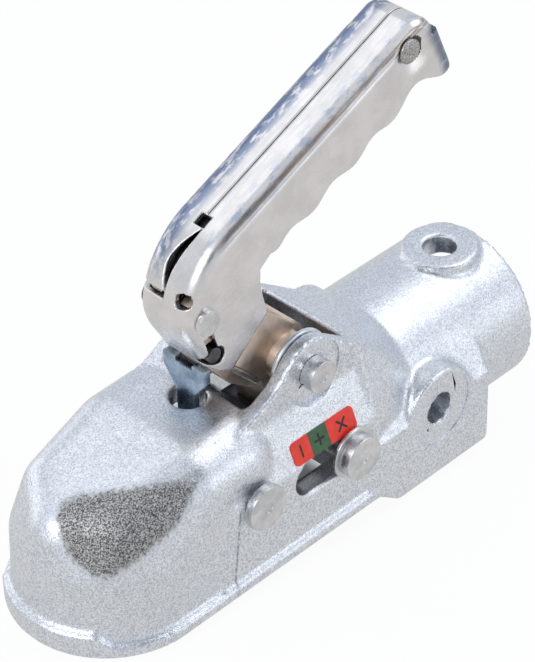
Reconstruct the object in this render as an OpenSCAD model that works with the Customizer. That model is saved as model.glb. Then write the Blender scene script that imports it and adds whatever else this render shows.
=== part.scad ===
// Trailer coupling head with a folded sheet handle, drawn with its handle raised
// Origin at the ball centre, X towards the drawbar, Z up, millimetres

/* [Ball cup] */
// Diameter of the towing ball
ball_d = 50; // [49:0.5:51]
// Radial room between the ball and the cup
cup_gap = 0.5; // [0.3:0.1:0.8]
// Depth of the base below the ball centre
base_drop = 22; // [21:0.5:24]

/* [Nose and base] */
// Width of the base flange
flange_w = 75.4; // [74.8:0.2:78]
// Height of the base flange along the sides
flange_t = 4.5; // [3:0.5:6]
// Height of the lip round the nose
lip_h = 9.5; // [7:0.5:11]
// Width of the dome
dome_w = 67.6; // [66:0.2:69]
// Height of the dome above the ball centre
dome_top = 39; // [37:0.5:41]

/* [Side panels and ears] */
// Width over the two flat side panels
panel_w = 71; // [70.4:0.2:72]
// Height where the side panels start to lean inwards
panel_top = 14; // [13:0.5:15]
// Width over the two ears
ears_w = 52; // [50:0.5:54]
// Clear width between the two ears
ears_gap = 41.4; // [40:0.2:42]
// Radius of the ears round the handle pivot
ear_r = 13; // [12:0.5:14]
// Thickness of the dome roof over the mechanism
roof_t = 8; // [6:0.5:9]

/* [Pivots] */
// Distance of the handle pivot behind the ball centre
pivot_x = 74.5; // [73:0.5:76]
// Height of the handle pivot
pivot_z = 43.6; // [42:0.2:45]
// Diameter of the handle pivot pin
pivot_d = 10; // [8:0.5:11]
// Distance of the jaw pin behind the ball centre
jaw_pin_x = 39.5; // [39:0.5:40.5]
// Height of the jaw pin
jaw_pin_z = 10.8; // [10:0.2:11.6]
// Diameter of the jaw pin
jaw_pin_d = 10; // [9:0.5:11]
// Running clearance of every pin, on the radius
run_gap = 0.05; // [0.02:0.01:0.1]
// Side clearance between moving pieces
side_gap = 0.4; // [0.3:0.1:0.6]

/* [Indicator slot] */
// Height of the slot
slot_z = 7.5; // [7:0.5:8]
// Front end of the slot, at its round centre
slot_front = 63.5; // [62.5:0.5:64]
// Place of the indicator pin when the handle is raised
pin_rest = 83.7; // [83:0.1:84.5]
// Diameter of the indicator pin
slide_pin_d = 13; // [11:0.5:13]
// Room of the pin in its slot, on each side
slot_room = 0.35; // [0.3:0.05:0.5]

/* [Drawbar sleeve] */
// Diameter of the drawbar tube
tube_d = 50; // [48:0.5:51]
// Radial room between the tube and the sleeve
tube_gap = 0.3; // [0.1:0.1:0.5]
// Outer diameter of the sleeve
sleeve_d = 64; // [62:0.5:66]
// Rear end of the sleeve
sleeve_end = 186.6; // [184:0.2:190]
// Thickness of the wall between the mechanism and the drawbar bore
bulkhead_t = 6; // [5:0.5:9]
// Diameter of the cross bolt holes
bolt_d = 12.5; // [12:0.5:14]
// Place of the cross bolt hole through the sides
side_bolt_x = 129.5; // [127:0.5:132]
// Distance from the side hole to the upright hole
bolt_pitch = 40; // [38:0.5:42]
// Width of the square block under the sleeve
block_w = 74.4; // [72:0.2:76]
// Depth of the square block below the drawbar axis
block_drop = 33; // [32.5:0.1:34]
// Rear end of the square block
block_end = 156.5; // [154:0.5:160]

/* [Handle] */
// Rise of the grip when the handle is raised
grip_angle = 23.2; // [22:0.2:24]
// Width of the handle
handle_w = 26; // [24.5:0.5:28]
// Thickness of the handle sheet
sheet = 2.5; // [2:0.1:3]
// Radius of the long folds
fold_r = 5.5; // [4.5:0.5:6.5]
// Radius of the handle's bent front
front_r = 37; // [36:0.5:38]
// Length of the straight grip
grip_len = 97.5; // [94:0.5:102]
// Depth of the grip
grip_depth = 24.2; // [22:0.2:26]
// Height of the finger waves
wave_h = 1.4; // [0.5:0.1:2]
// Pitch of the finger waves
wave_pitch = 22; // [20:0.5:24]
// Diameter of the rivet that holds the handle front
rivet_d = 7; // [6:0.5:8]

/* [Indicator label] */
// Length of the label
label_l = 31; // [28:0.5:32]
// Height of the label
label_h = 9; // [7:0.5:9.5]

/* [Hidden] */
$fn = 72;
eps = 0.01;
lap = 0.1;
far = 200;
cup_r = ball_d / 2 + cup_gap;
flange_r = flange_w / 2;
dome_r = dome_w / 2;
panel_y = panel_w / 2;
ear_y = ears_w / 2;
gap_y = ears_gap / 2;
sleeve_r = sleeve_d / 2;
// Room of the mechanism behind the raised handle's indicator pin
rear_room = 13.3;
rear_x = pin_rest + rear_room;
// Height where the leaning panels meet the ears' sides
lean_top = 36;
// Height where the roof meets the rear end of the ears
ear_foot = 43.4;
cast_zinc = [0.78, 0.80, 0.84];
plated = [0.76, 0.74, 0.72];
bronze = [0.55, 0.43, 0.34];
dark_steel = [0.35, 0.35, 0.37];

// Side outline drawn in X and Z, as a slab between two Y planes
module slab(y0, y1) {
    translate([0, y1, 0]) rotate([90, 0, 0]) linear_extrude(y1 - y0) children();
}
// Cross section drawn in Y and Z, as a beam between two X planes
module beam(x0, x1) {
    translate([x0, 0, 0]) rotate([90, 0, 90]) linear_extrude(x1 - x0) children();
}
// Round rod across the part
module rod(x, z, r, y0, y1) {
    translate([x, y1, z]) rotate([90, 0, 0]) cylinder(r = r, h = y1 - y0);
}
module both_sides() {
    children();
    mirror([0, 1, 0]) children();
}

// Wire coil along Z: one closed tube with flat ends
function ring_points(c, r, wire, a, sides) =
    [for (k = [0:sides - 1])
        let (b = 360 * k / sides, q = r + wire / 2 * cos(b))
        [q * cos(a), q * sin(a), c + wire / 2 * sin(b)]];
module coil(r, wire, turns, length, steps = 16, sides = 8) {
    rings = floor(turns * steps);
    points = [for (i = [0:rings])
        each ring_points(wire / 2 + (length - wire) * i / rings, r, wire, 360 * i / steps, sides)];
    walls = [for (i = [0:rings - 1]) for (k = [0:sides - 1])
        let (n = (k + 1) % sides)
        each [[i * sides + k, i * sides + n, (i + 1) * sides + n],
              [i * sides + k, (i + 1) * sides + n, (i + 1) * sides + k]]];
    ends = [[for (k = [sides - 1:-1:0]) k], [for (k = [0:sides - 1]) rings * sides + k]];
    polyhedron(points, concat(walls, ends));
}

// Housing casting
lip_l = 8.7;
lip_ramp = 4;
lip_end = lip_l - flange_r;
module flange_plan(r) {
    circle(r = r);
    translate([0, -r]) square([rear_x, 2 * r]);
}
module base_flange() {
    translate([0, 0, -base_drop]) linear_extrude(flange_t) flange_plan(flange_r);
    translate([0, 0, -base_drop]) intersection() {
        cylinder(r = flange_r, h = lip_h);
        slab(-far, far) polygon([[-far, -lap], [lip_end + lip_ramp, -lap],
                                 [lip_end + lip_ramp, flange_t - lap],
                                 [lip_end, lip_h], [-far, lip_h]]);
    }
}
// Dome: a drafted wall under a crest, two front shoulders and a round nose
wall_top = 8;
draft = 1.2;
nose_back = 50;
crest_r = 17;
crest_y = dome_r - crest_r;
crest_back = 40;
crest_front = 22;
crest_fall = 0.5;
shoulder_r = 15;
shoulder = [-6, 14.5, 16.5];
nose_r = 16;
nose = [-16.5, 0, 13];
module dome() {
    hull() {
        translate([0, 0, -base_drop])
            cylinder(r1 = dome_r + draft, r2 = dome_r, h = base_drop + wall_top, $fn = 64);
        translate([nose_back - 1, -dome_r, -base_drop]) cube([1, 2 * dome_r, base_drop + wall_top]);
        both_sides() translate([crest_back, crest_y, dome_top - crest_r]) sphere(r = crest_r, $fn = 36);
        both_sides() translate([crest_front, crest_y, dome_top - crest_r - crest_fall])
            sphere(r = crest_r, $fn = 36);
        both_sides() translate(shoulder) sphere(r = shoulder_r, $fn = 36);
        translate(nose) sphere(r = nose_r, $fn = 36);
    }
}
module trunk_section() {
    polygon([[-panel_y, -base_drop], [panel_y, -base_drop], [panel_y, panel_top],
             [ear_y, lean_top], [ear_y, ear_foot], [-ear_y, ear_foot], [-ear_y, lean_top],
             [-panel_y, panel_top]]);
}
// Front edge of the panels, and the rear fall of the roof
trunk_start = 10;
panel_foot_x = jaw_pin_x - 20.5;
panel_knee = [jaw_pin_x - 10, panel_top + 10];
roof_front = [jaw_pin_x - 1.5, dome_top - 2];
roof_x = jaw_pin_x + 6.5;
roof_fall = 5;
module trunk() {
    intersection() {
        beam(trunk_start, rear_x) trunk_section();
        slab(-far, far) polygon([[panel_foot_x, -base_drop], panel_knee, roof_front, [roof_x, dome_top],
                                 [rear_x - roof_fall, dome_top], [rear_x, ear_foot],
                                 [rear_x, -base_drop]]);
    }
}
// Ears: a round head at the pivot, with straight edges that leave it as tangents
ear_lead = 30.5;
ear_step = 18.5;
ear_root = 30;
ear_proud = 0.6;
ear_inset = 0.03;
function on_ear(a) = [pivot_x + (ear_r - ear_inset) * cos(a), pivot_z + (ear_r - ear_inset) * sin(a)];
module ear_outline() {
    translate([pivot_x, pivot_z]) circle(r = ear_r);
    polygon([[pivot_x - ear_lead, ear_root], [pivot_x - ear_lead, dome_top - crest_fall],
             [pivot_x - ear_step, pivot_z + 0.9], on_ear(127.5), on_ear(65), [rear_x, ear_foot],
             [rear_x, ear_root]]);
}
// Sleeve, and the neck that blends the trunk into it
neck_l = 26;
slice = 1;
neck_lift = 4;
module sleeve_body() {
    rotate([0, 90, 0]) translate([0, 0, rear_x + neck_l - 3 * slice])
        cylinder(r = sleeve_r, h = sleeve_end - rear_x - neck_l + 3 * slice);
    hull() {
        beam(rear_x - slice / 2, rear_x) intersection() {
            trunk_section();
            translate([-far, neck_lift - base_drop]) square([2 * far, far]);
        }
        rotate([0, 90, 0]) translate([0, 0, rear_x + neck_l - slice]) cylinder(r = sleeve_r, h = slice);
    }
}
// Block: upright sides with round lower edges, whose top fades into the sleeve
block_r = 6;
block_flat = 2;
fade_z = 16;
fade_y = sqrt(sleeve_r * sleeve_r - fade_z * fade_z) - 0.2;
block_ramp = 15;
block_lead = 3;
block_top = 22;
module block_section() {
    w = block_w / 2;
    translate([-w, block_r - block_drop]) square([2 * w, block_drop - block_r + block_flat]);
    translate([block_r - w, -block_drop]) square([2 * (w - block_r), block_drop]);
    for (s = [-1, 1]) translate([s * (w - block_r), block_r - block_drop]) circle(r = block_r);
    polygon([[-w, block_flat], [w, block_flat], [fade_y, fade_z], [-fade_y, fade_z]]);
}
module rear_block() {
    intersection() {
        beam(rear_x - block_lead - 1, block_end) block_section();
        slab(-far, far) polygon([[rear_x - block_lead, -base_drop], [rear_x, -base_drop],
                                 [rear_x + block_ramp, -block_drop], [block_end, -block_drop],
                                 [block_end, block_top], [rear_x - block_lead, block_top]]);
    }
}
// Ball cup, open below and relieved to the rear, with a small lead at its mouth
entry_shift = 9;
lead_in = 5;
lead_rise = 4;
module cup_cut() {
    sphere(r = cup_r, $fn = 96);
    translate([entry_shift, 0, -base_drop - 1]) cylinder(r = cup_r, h = base_drop + 1, $fn = 96);
    translate([0, 0, -base_drop - 1])
        cylinder(r1 = cup_r - lead_in, r2 = cup_r - lead_in - lead_rise, h = lead_rise, $fn = 96);
}
// Room of the mechanism, open below and between the ears
cavity_wall = 9;
cavity_y = panel_y - cavity_wall;
cavity_front = jaw_pin_x - 16.5;
cavity_back = rear_x - 2;
cavity_knee = panel_top - 4;
cavity_waist = 24;
gap_floor = 20;
gap_front = pivot_x - 26.5;
module cavity() {
    beam(cavity_front, cavity_back) polygon([
        [-cavity_y, -base_drop - 1], [cavity_y, -base_drop - 1], [cavity_y, cavity_knee],
        [gap_y, cavity_waist], [gap_y, dome_top - roof_t], [-gap_y, dome_top - roof_t],
        [-gap_y, cavity_waist], [-cavity_y, cavity_knee]]);
    slab(-gap_y, gap_y) polygon([[gap_front, gap_floor], [cavity_back, gap_floor],
                                 [rear_x, ear_foot], [rear_x, far], [gap_front, far]]);
}
slot_r = slide_pin_d / 2 + slot_room;
slot_rear = pin_rest + 0.6;
module slot_cut() {
    slab(-far, far) union() {
        translate([slot_front, slot_z]) circle(r = slot_r);
        translate([slot_rear, slot_z]) circle(r = slot_r);
        translate([slot_front, slot_z - slot_r]) square([slot_rear - slot_front, 2 * slot_r]);
    }
}
// Tongue of the ball sensor: its place, its hole in the roof and its room inside
sensor_x = jaw_pin_x + 0.5;
sensor_y = 4;
sensor_room = 1;
sensor_hole_r = 6.5;
sensor_pocket = [[-25.5, 0.2], [-13.5, -2.8], [-13.5, 15.2], [-23.5, 13.2]];
// Bolt bosses of the sleeve and their faces
bolt_x = side_bolt_x + bolt_pitch;
bore_front = cavity_back + bulkhead_t;
boss_r = 14.5;
pad_z = sleeve_r + 1.7;
side_boss_r = 16.5;
side_face_r = 15;
face_cut = 0.4;
module housing() {
    color(cast_zinc) difference() {
        union() {
            base_flange();
            dome();
            trunk();
            both_sides() slab(gap_y, ear_y + ear_proud) ear_outline();
            sleeve_body();
            rear_block();
            translate([bolt_x, 0, 0]) cylinder(r = boss_r, h = pad_z);
            rod(side_bolt_x, 0, side_boss_r, -block_w / 2, block_w / 2);
        }
        cup_cut();
        cavity();
        slot_cut();
        translate([sensor_x, 0, gap_floor]) cylinder(r = sensor_hole_r, h = far);
        slab(-sensor_y - sensor_room, sensor_y + sensor_room)
            translate([jaw_pin_x, jaw_pin_z]) polygon(sensor_pocket);
        rod(pivot_x, pivot_z, pivot_d / 2, -far, far);
        rod(jaw_pin_x, jaw_pin_z, jaw_pin_d / 2, -far, far);
        both_sides() rod(pivot_x, pivot_z, ear_r, ear_y, far);
        rotate([0, 90, 0]) translate([0, 0, bore_front]) cylinder(r = tube_d / 2 + tube_gap, h = far);
        translate([bolt_x, 0, -far]) cylinder(r = bolt_d / 2, h = 2 * far);
        rod(side_bolt_x, 0, bolt_d / 2, -far, far);
        both_sides() rod(side_bolt_x, 0, side_face_r, block_w / 2 - face_cut, far);
    }
}

// Ball jaw, drawn closed and then swung open about its pin
jaw_open = 15;
jaw_lug_r = 9;
jaw_y = 20;
jaw_reach = 21.5;
jaw_heel = 7.5;
jaw_sole = 17;
jaw_step = 9;
module about_jaw_pin(a) {
    translate([jaw_pin_x, 0, jaw_pin_z]) rotate([0, a, 0]) translate([-jaw_pin_x, 0, -jaw_pin_z])
        children();
}
module jaw_outline() {
    polygon([[jaw_pin_x - jaw_lug_r + 0.4, jaw_pin_z], [jaw_pin_x + jaw_lug_r - 0.4, jaw_pin_z],
             [jaw_pin_x + jaw_heel, jaw_step + 2 - jaw_sole], [jaw_pin_x - 1.5, 1 - jaw_sole],
             [jaw_pin_x - jaw_reach, -jaw_sole], [jaw_pin_x - jaw_reach, jaw_step - jaw_sole]]);
}
module ball_jaw() {
    color(bronze) about_jaw_pin(-jaw_open) difference() {
        union() {
            rod(jaw_pin_x, jaw_pin_z, jaw_lug_r, -jaw_y, jaw_y);
            slab(-jaw_y, jaw_y) jaw_outline();
        }
        sphere(r = cup_r, $fn = 96);
        rod(jaw_pin_x, jaw_pin_z, jaw_pin_d / 2 + run_gap, -far, far);
        slab(-sensor_y - 3 * sensor_room, sensor_y + 3 * sensor_room)
            translate([jaw_pin_x - jaw_reach + 2, jaw_step - 4 - jaw_lug_r]) square([far, far]);
    }
}

// Pins with a low head that has a small centre mark, and the clips on their far ends
jaw_head_d = 17.3;
jaw_head_t = 3.2;
mark_r = 2;
mark_depth = 0.4;
module pin_head(x, z, d, face, thick) {
    difference() {
        rod(x, z, d / 2, -face - thick, -face);
        rod(x, z, mark_r, -face - thick - 1, mark_depth - face - thick);
    }
}
clip_t = 1.5;
clip_w = 2.4;
clip_mouth = 3;
pin_tail = clip_t + 2.5;
module clip(x, z, d, y) {
    difference() {
        rod(x, z, d / 2 + clip_w, y, y + clip_t);
        rod(x, z, d / 2, y - 1, y + 2 * clip_t);
        translate([x - clip_mouth / 2, y - 1, z - d]) cube([clip_mouth, clip_t + 2, d]);
    }
}
module jaw_pin() {
    color(plated) {
        rod(jaw_pin_x, jaw_pin_z, jaw_pin_d / 2, -panel_y, panel_y + pin_tail);
        pin_head(jaw_pin_x, jaw_pin_z, jaw_head_d, panel_y, jaw_head_t);
    }
}
module jaw_pin_clip() {
    color(dark_steel) clip(jaw_pin_x, jaw_pin_z, jaw_pin_d, panel_y + eps);
}

// Ball sensor: a tongue that stands out of the dome's round hole
sensor_t = 3;
sensor_hub_r = 8;
tongue_top = dome_top + 15.5;
tongue_w = 20;
tongue_neck = dome_top + 2;
horn_h = 5.5;
horn_w = 6;
notch_depth = 2;
feeler = [[-6.5, 6.2], [-17, 9.2], [-18.5, 6], [-7.5, -1.8]];
module tongue_outline() {
    w = tongue_w / 2;
    polygon([[-sensor_y, dome_top - 1], [sensor_y, dome_top - 1], [sensor_y, tongue_neck],
             [w, tongue_top - horn_h], [w, tongue_top], [w - horn_w, tongue_top],
             [w - horn_w, tongue_top - notch_depth], [horn_w - w, tongue_top - notch_depth],
             [horn_w - w, tongue_top], [-w, tongue_top], [-w, tongue_top - horn_h],
             [-sensor_y, tongue_neck]]);
}
module sensor_lever() {
    color(cast_zinc) difference() {
        union() {
            slab(-sensor_y, sensor_y) union() {
                translate([jaw_pin_x, jaw_pin_z]) circle(r = sensor_hub_r);
                translate([sensor_x - sensor_t / 2, jaw_pin_z + 1.2])
                    square([sensor_t, tongue_neck + 1 - jaw_pin_z - 1.2]);
                translate([jaw_pin_x, jaw_pin_z]) polygon(feeler);
            }
            beam(sensor_x - sensor_t / 2, sensor_x + sensor_t / 2) tongue_outline();
        }
        rod(jaw_pin_x, jaw_pin_z, jaw_pin_d / 2 + run_gap, -far, far);
    }
}
sensor_wire = 0.8;
sensor_spring_l = 2.5;
module sensor_spring() {
    color(dark_steel) translate([jaw_pin_x, sensor_y + 0.3, jaw_pin_z]) rotate([-90, 0, 0])
        coil(jaw_pin_d / 2 + sensor_wire + 0.2, sensor_wire, 2, sensor_spring_l);
}

// Handle: one folded sheet with two top flanges that meet in a seam
// Front end of the grip's straight top line
grip_top_x = 52.5;
grip_top_z = 108.1;
bend_x = grip_top_x + front_r * sin(grip_angle);
bend_z = grip_top_z - front_r * cos(grip_angle);
front_x = bend_x - front_r;
handle_y = handle_w / 2;
// Rivet at the front, and the keyhole under it
rivet_x = front_x + 7.82;
rivet_z = 78.7;
key_x = rivet_x + 4.3;
key_z = rivet_z - 17.3;
key_r = 4.5;
function by_pivot(dx, dz) = [pivot_x + dx, pivot_z + dz];
function by_rivet(dx, dz) = [rivet_x + dx, rivet_z + dz];
function by_key(dx, dz) = [key_x + dx, key_z + dz];
cheek_low = key_z - 25.4;
module along_grip() {
    translate([grip_top_x, 0, grip_top_z]) rotate([0, -grip_angle, 0]) children();
}
// Quarter round of a fold, as points
fold_step = 11.25;
function fold_arc(x, z, r, start) =
    [for (a = [start:fold_step:start + 90]) [x + r * cos(a), z + r * sin(a)]];
// Section of the fold, in Y and in height below the top
module fold_section(inset, depth) {
    r = fold_r - inset;
    w = handle_y - inset;
    polygon(concat([[-w, -depth], [w, -depth]],
                   fold_arc(w - r, -inset - r, r, 0), fold_arc(r - w, -inset - r, r, 90)));
}
// The bend is a trace smaller than the straight parts that lap over its two ends
bend_lap = 1;
bend_step = 0.02;
bend_depth = front_r - 0.5;
tip_s = grip_len + 6;
module fold_body(inset, tail) {
    lap_angle = asin(bend_lap / front_r);
    along_grip() translate([-bend_lap, 0, 0]) rotate([90, 0, 90])
        linear_extrude(tip_s + bend_lap - inset) fold_section(inset, bend_depth);
    translate([bend_x, 0, bend_z]) rotate([90, 0, 0]) mirror([1, 0, 0]) rotate([0, 0, -lap_angle])
        rotate_extrude(angle = 90 - grip_angle + 2 * lap_angle, $fn = 120)
            translate([front_r, 0]) rotate(-90) fold_section(inset + bend_step, bend_depth - 0.3);
    translate([front_x, 0, tail]) linear_extrude(bend_z - tail + bend_lap) rotate(90)
        fold_section(inset, bend_depth);
}
// Side outline: front web, cheek, finger waves and hooked tip
function grip_point(s, n) = [grip_top_x + s * cos(grip_angle) - n * sin(grip_angle),
                             grip_top_z + s * sin(grip_angle) + n * cos(grip_angle)];
wave_mid = 52;
flare_s = tip_s - 33.5;
flare = 0.11;
function wave(s) = -grip_depth - wave_h * cos(360 * (s - wave_mid) / wave_pitch)
                   + flare * max(0, s - flare_s);
web_low = by_rivet(-7.4, -10.1);
module shell_outline() {
    polygon(concat(
        [[front_x - sheet, grip_top_z], [front_x - sheet, web_low[1] + 3.4], web_low,
         by_key(-6.6, -0.8), by_key(-1.2, -5.4), by_key(6.3, -10.1),
         by_pivot(-13.9, -5.2), by_pivot(-12.5, -3.2),
         by_key(8.3, -9), by_key(24.6, 4.9), by_key(23.2, 11.1), by_key(21.6, 18.6), by_key(22, 26.6),
         grip_point(6, 2.6 - grip_depth)],
        [for (s = [12:3:tip_s - 16.5]) grip_point(s, wave(s))],
        [grip_point(tip_s - 13.5, 2 - grip_depth), grip_point(tip_s - 9.5, -grip_depth - 1.2),
         grip_point(tip_s - 6.5, -grip_depth - 4.2), grip_point(tip_s - 3.5, -grip_depth - 5.2),
         grip_point(tip_s - 0.5, -grip_depth - 4.1), grip_point(tip_s, 2.2 - grip_depth),
         grip_point(tip_s + 0.2, -8), grip_point(tip_s - 1.2, -4), grip_point(tip_s - 4, -1),
         grip_point(tip_s - 8, 1), grip_point(0, 2)]));
}
// Round dish at the tip, with its rivet
tip = grip_point(tip_s - 13.61, -6.54);
tip_rivet_r = 2.4;
dish_r = 28;
dish_depth = 2.2;
dish_x = tip[0] + 2;
dish_z = tip[1] - 0.5;
module at_dish() {
    both_sides() translate([dish_x, dish_depth - handle_y - dish_r, dish_z]) children();
}
// Keyhole: a round hole with a slanted slot above it
key_slot = [[-2, 0], [1.5, 1], [-1.2, 10.3], [-4.9, 9.2]];
module handle_shell() {
    color(plated) difference() {
        intersection() {
            fold_body(0, cheek_low);
            slab(-handle_y, handle_y) shell_outline();
        }
        difference() {
            fold_body(sheet, cheek_low - 2);
            at_dish() sphere(r = dish_r + sheet, $fn = 48);
        }
        at_dish() sphere(r = dish_r, $fn = 48);
        rod(rivet_x, rivet_z, rivet_d / 2, -far, far);
        rod(key_x, key_z, key_r, -far, far);
        slab(-far, far) translate([key_x, key_z]) polygon(key_slot);
        rod(tip[0], tip[1], tip_rivet_r, -far, far);
        seam_cut();
        front_slit();
    }
}
// Seam between the two flanges: narrow on the grip, with a square relief and a wide gap at the bend
seam_w = 0.4;
relief_w = 4.6;
relief_s = -4.5;
gap_low_w = 3.6;
gap_mid_w = 3;
gap_top_w = 0.6;
slit_z = rivet_z + 3.5;
slit_h = 1.3;
slit_end_r = 3.4;
gap_mid_z = slit_z + 11.8;
module seam_cut() {
    along_grip() translate([-2, -seam_w / 2, -sheet - 2]) cube([tip_s + 14, seam_w, far]);
    along_grip() translate([relief_s, -relief_w / 2, -sheet - 2]) cube([relief_w, relief_w, far]);
    hull() {
        along_grip() translate([-2, -gap_top_w / 2, -sheet - 1]) cube([1, gap_top_w, 8]);
        translate([front_x - 3, -gap_low_w / 2, slit_z + 0.3]) cube([8, gap_low_w, 1]);
    }
    hull() {
        translate([front_x - 3, -gap_low_w / 2, slit_z + 0.3]) cube([8, gap_low_w, 1]);
        translate([front_x - 3, -gap_mid_w / 2, gap_mid_z]) cube([14, gap_mid_w, 1]);
    }
}
module front_slit() {
    translate([front_x - 4, -handle_y - 1, slit_z]) cube([6 + sheet, 2 * handle_y + 2, slit_h]);
    both_sides() translate([front_x - 4, handle_y - 3, slit_z + 0.5]) rotate([0, 90, 0])
        cylinder(r = slit_end_r, h = 12);
}

// Inner lever: two webs in the handle, a hub on the bushes and a fork on the indicator pin
bush_t = 1.5;
lever_y = handle_y - sheet - lap;
hub_y = gap_y - side_gap;
hub_r = 9;
lever_hub_r = 12;
arm_y = 8;
fork_gap = 0.3;
fork_wall = 3;
fork_r = slide_pin_d / 2 + fork_wall;
fork_foot = 2;
fork_slot = [-0.5, 1.6];
arm_dx = pin_rest - pivot_x;
arm_dz = pivot_z - slot_z;
arm_len = sqrt(arm_dx * arm_dx + arm_dz * arm_dz);
arm_angle = atan2(arm_dx, arm_dz);
catch_y = 4;
pocket_back = key_x + 11.8;
module lever_outline() {
    translate([pivot_x, pivot_z]) circle(r = lever_hub_r);
    polygon([by_pivot(-12.5, -8.6), by_pivot(-24.5, 0.4), by_key(1.2, -8.9), by_key(-6.2, 0.6),
             by_rivet(-3.1, -4.7), by_rivet(-3.4, 5.3), by_rivet(4.1, 9.3), by_rivet(14.1, 5.3),
             by_rivet(22.1, -6.7), by_pivot(-6.1, 21), by_pivot(-4.5, 20.8), by_pivot(5.9, 9.8),
             by_pivot(11.1, 4.4)]);
}
module on_arm() {
    translate([pivot_x, pivot_z]) rotate(arm_angle) children();
}
module inner_lever() {
    slot_w = slide_pin_d / 2 + fork_gap;
    color(bronze) difference() {
        union() {
            slab(-lever_y, lever_y) lever_outline();
            rod(pivot_x, pivot_z, hub_r, -hub_y, hub_y);
            slab(-arm_y, arm_y) on_arm() union() {
                translate([-fork_r, -arm_len - fork_foot]) square([2 * fork_r, arm_len]);
                translate([0, -arm_len - fork_foot]) circle(r = fork_r);
            }
        }
        rod(pivot_x, pivot_z, pivot_d / 2 + run_gap + bush_t, -far, far);
        rod(rivet_x, rivet_z, rivet_d / 2, -far, far);
        slab(-catch_y - side_gap, catch_y + side_gap)
            polygon([[front_x, key_z - 11.4], [pocket_back, key_z - 11.4], [pocket_back, rivet_z + 1.3],
                     [key_x + 3.8, rivet_z + 16.3], [front_x, rivet_z + 16.3]]);
        rod(key_x, key_z, key_r + 1, -far, far);
        slab(-far, far) on_arm() union() {
            for (d = fork_slot) translate([0, d - arm_len]) circle(r = slot_w);
            translate([-slot_w, fork_slot[0] - arm_len]) square([2 * slot_w, fork_slot[1] - fork_slot[0]]);
        }
    }
}
module pivot_bushes() {
    color(bronze) difference() {
        rod(pivot_x, pivot_z, pivot_d / 2 + run_gap + bush_t, -hub_y, hub_y);
        rod(pivot_x, pivot_z, pivot_d / 2 + run_gap, -far, far);
        rod(pivot_x, pivot_z, far, -hub_y / 3, hub_y / 3);
    }
}
pivot_head_d = 12.4;
pivot_head_t = 5.4;
module pivot_pin() {
    color(plated) {
        rod(pivot_x, pivot_z, pivot_d / 2, -ear_y, ear_y + pin_tail - 0.6);
        pin_head(pivot_x, pivot_z, pivot_head_d, ear_y, pivot_head_t);
    }
}
module pivot_pin_clip() {
    color(dark_steel) clip(pivot_x, pivot_z, pivot_d, ear_y + eps);
}
rivet_head_r = 4.9;
rivet_head_t = 1.8;
module handle_rivet() {
    color(plated) {
        rod(rivet_x, rivet_z, rivet_d / 2, -handle_y, handle_y);
        both_sides() rod(rivet_x, rivet_z, rivet_head_r, handle_y, handle_y + rivet_head_t);
    }
}
tip_in = handle_y - dish_depth;
tip_rise = 0.9;
tip_head_r = 4.6;
tip_head_t = 1.5;
spacer_r = 3.8;
module grip_rivet() {
    color(plated) {
        rod(tip[0], tip[1], tip_rivet_r, -tip_in - tip_rise, tip_in + tip_rise);
        both_sides() rod(tip[0], tip[1], tip_head_r, tip_in + tip_rise, tip_in + tip_rise + tip_head_t);
    }
}
module grip_spacer() {
    color(dark_steel) difference() {
        rod(tip[0], tip[1], spacer_r, sheet - tip_in, tip_in - sheet);
        rod(tip[0], tip[1], tip_rivet_r, -far, far);
    }
}

// Catch inside the handle front: a bent strip seen in the gap, on a lever with the keyhole's pin
strip_gap = 1;
strip_t = 2;
strip_r = front_r - sheet - strip_gap;
strip_arc = [106, 177];
catch_front = 4.6;
catch_top = 6;
catch_pin_r = 3;
module strip_wedge() {
    translate([bend_x, bend_z])
        polygon([[0, 0], 2 * front_r * [cos(strip_arc[0]), sin(strip_arc[0])],
                 2 * front_r * [-1, 1], 2 * front_r * [cos(strip_arc[1]), sin(strip_arc[1])]]);
}
module catch_lever() {
    color(plated) difference() {
        union() {
            slab(-catch_y, catch_y) polygon([by_rivet(-catch_front, -4), by_rivet(0.5 - catch_front, 2.6),
                                             by_rivet(0, catch_top), by_rivet(catch_top, catch_top),
                                             by_key(4.4, -key_r), by_key(-catch_front, -key_r)]);
            slab(-catch_y, catch_y) intersection() {
                difference() {
                    translate([bend_x, bend_z]) circle(r = strip_r);
                    translate([bend_x, bend_z]) circle(r = strip_r - strip_t);
                }
                strip_wedge();
            }
            slab(-catch_y, catch_y) polygon([[bend_x - strip_r + 0.6, bend_z + 2.4], by_rivet(0, -1.5),
                                             by_rivet(0, 5), [bend_x - strip_r + 1.1, bend_z + 9.9]]);
        }
        rod(rivet_x, rivet_z, rivet_d / 2 + run_gap, -far, far);
        rod(key_x, key_z, catch_pin_r, -far, far);
    }
}
module catch_pin() {
    color(dark_steel) rod(key_x, key_z, catch_pin_r, 1 - handle_y, handle_y - 1);
}
catch_spring_r = 2.6;
catch_wire = 0.9;
catch_spring_l = 7.6;
module catch_spring() {
    color(dark_steel) translate([pocket_back - catch_spring_l - lap, 0, key_z + 6.6])
        rotate([0, 90, 0]) coil(catch_spring_r, catch_wire, 5, catch_spring_l);
}

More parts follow.
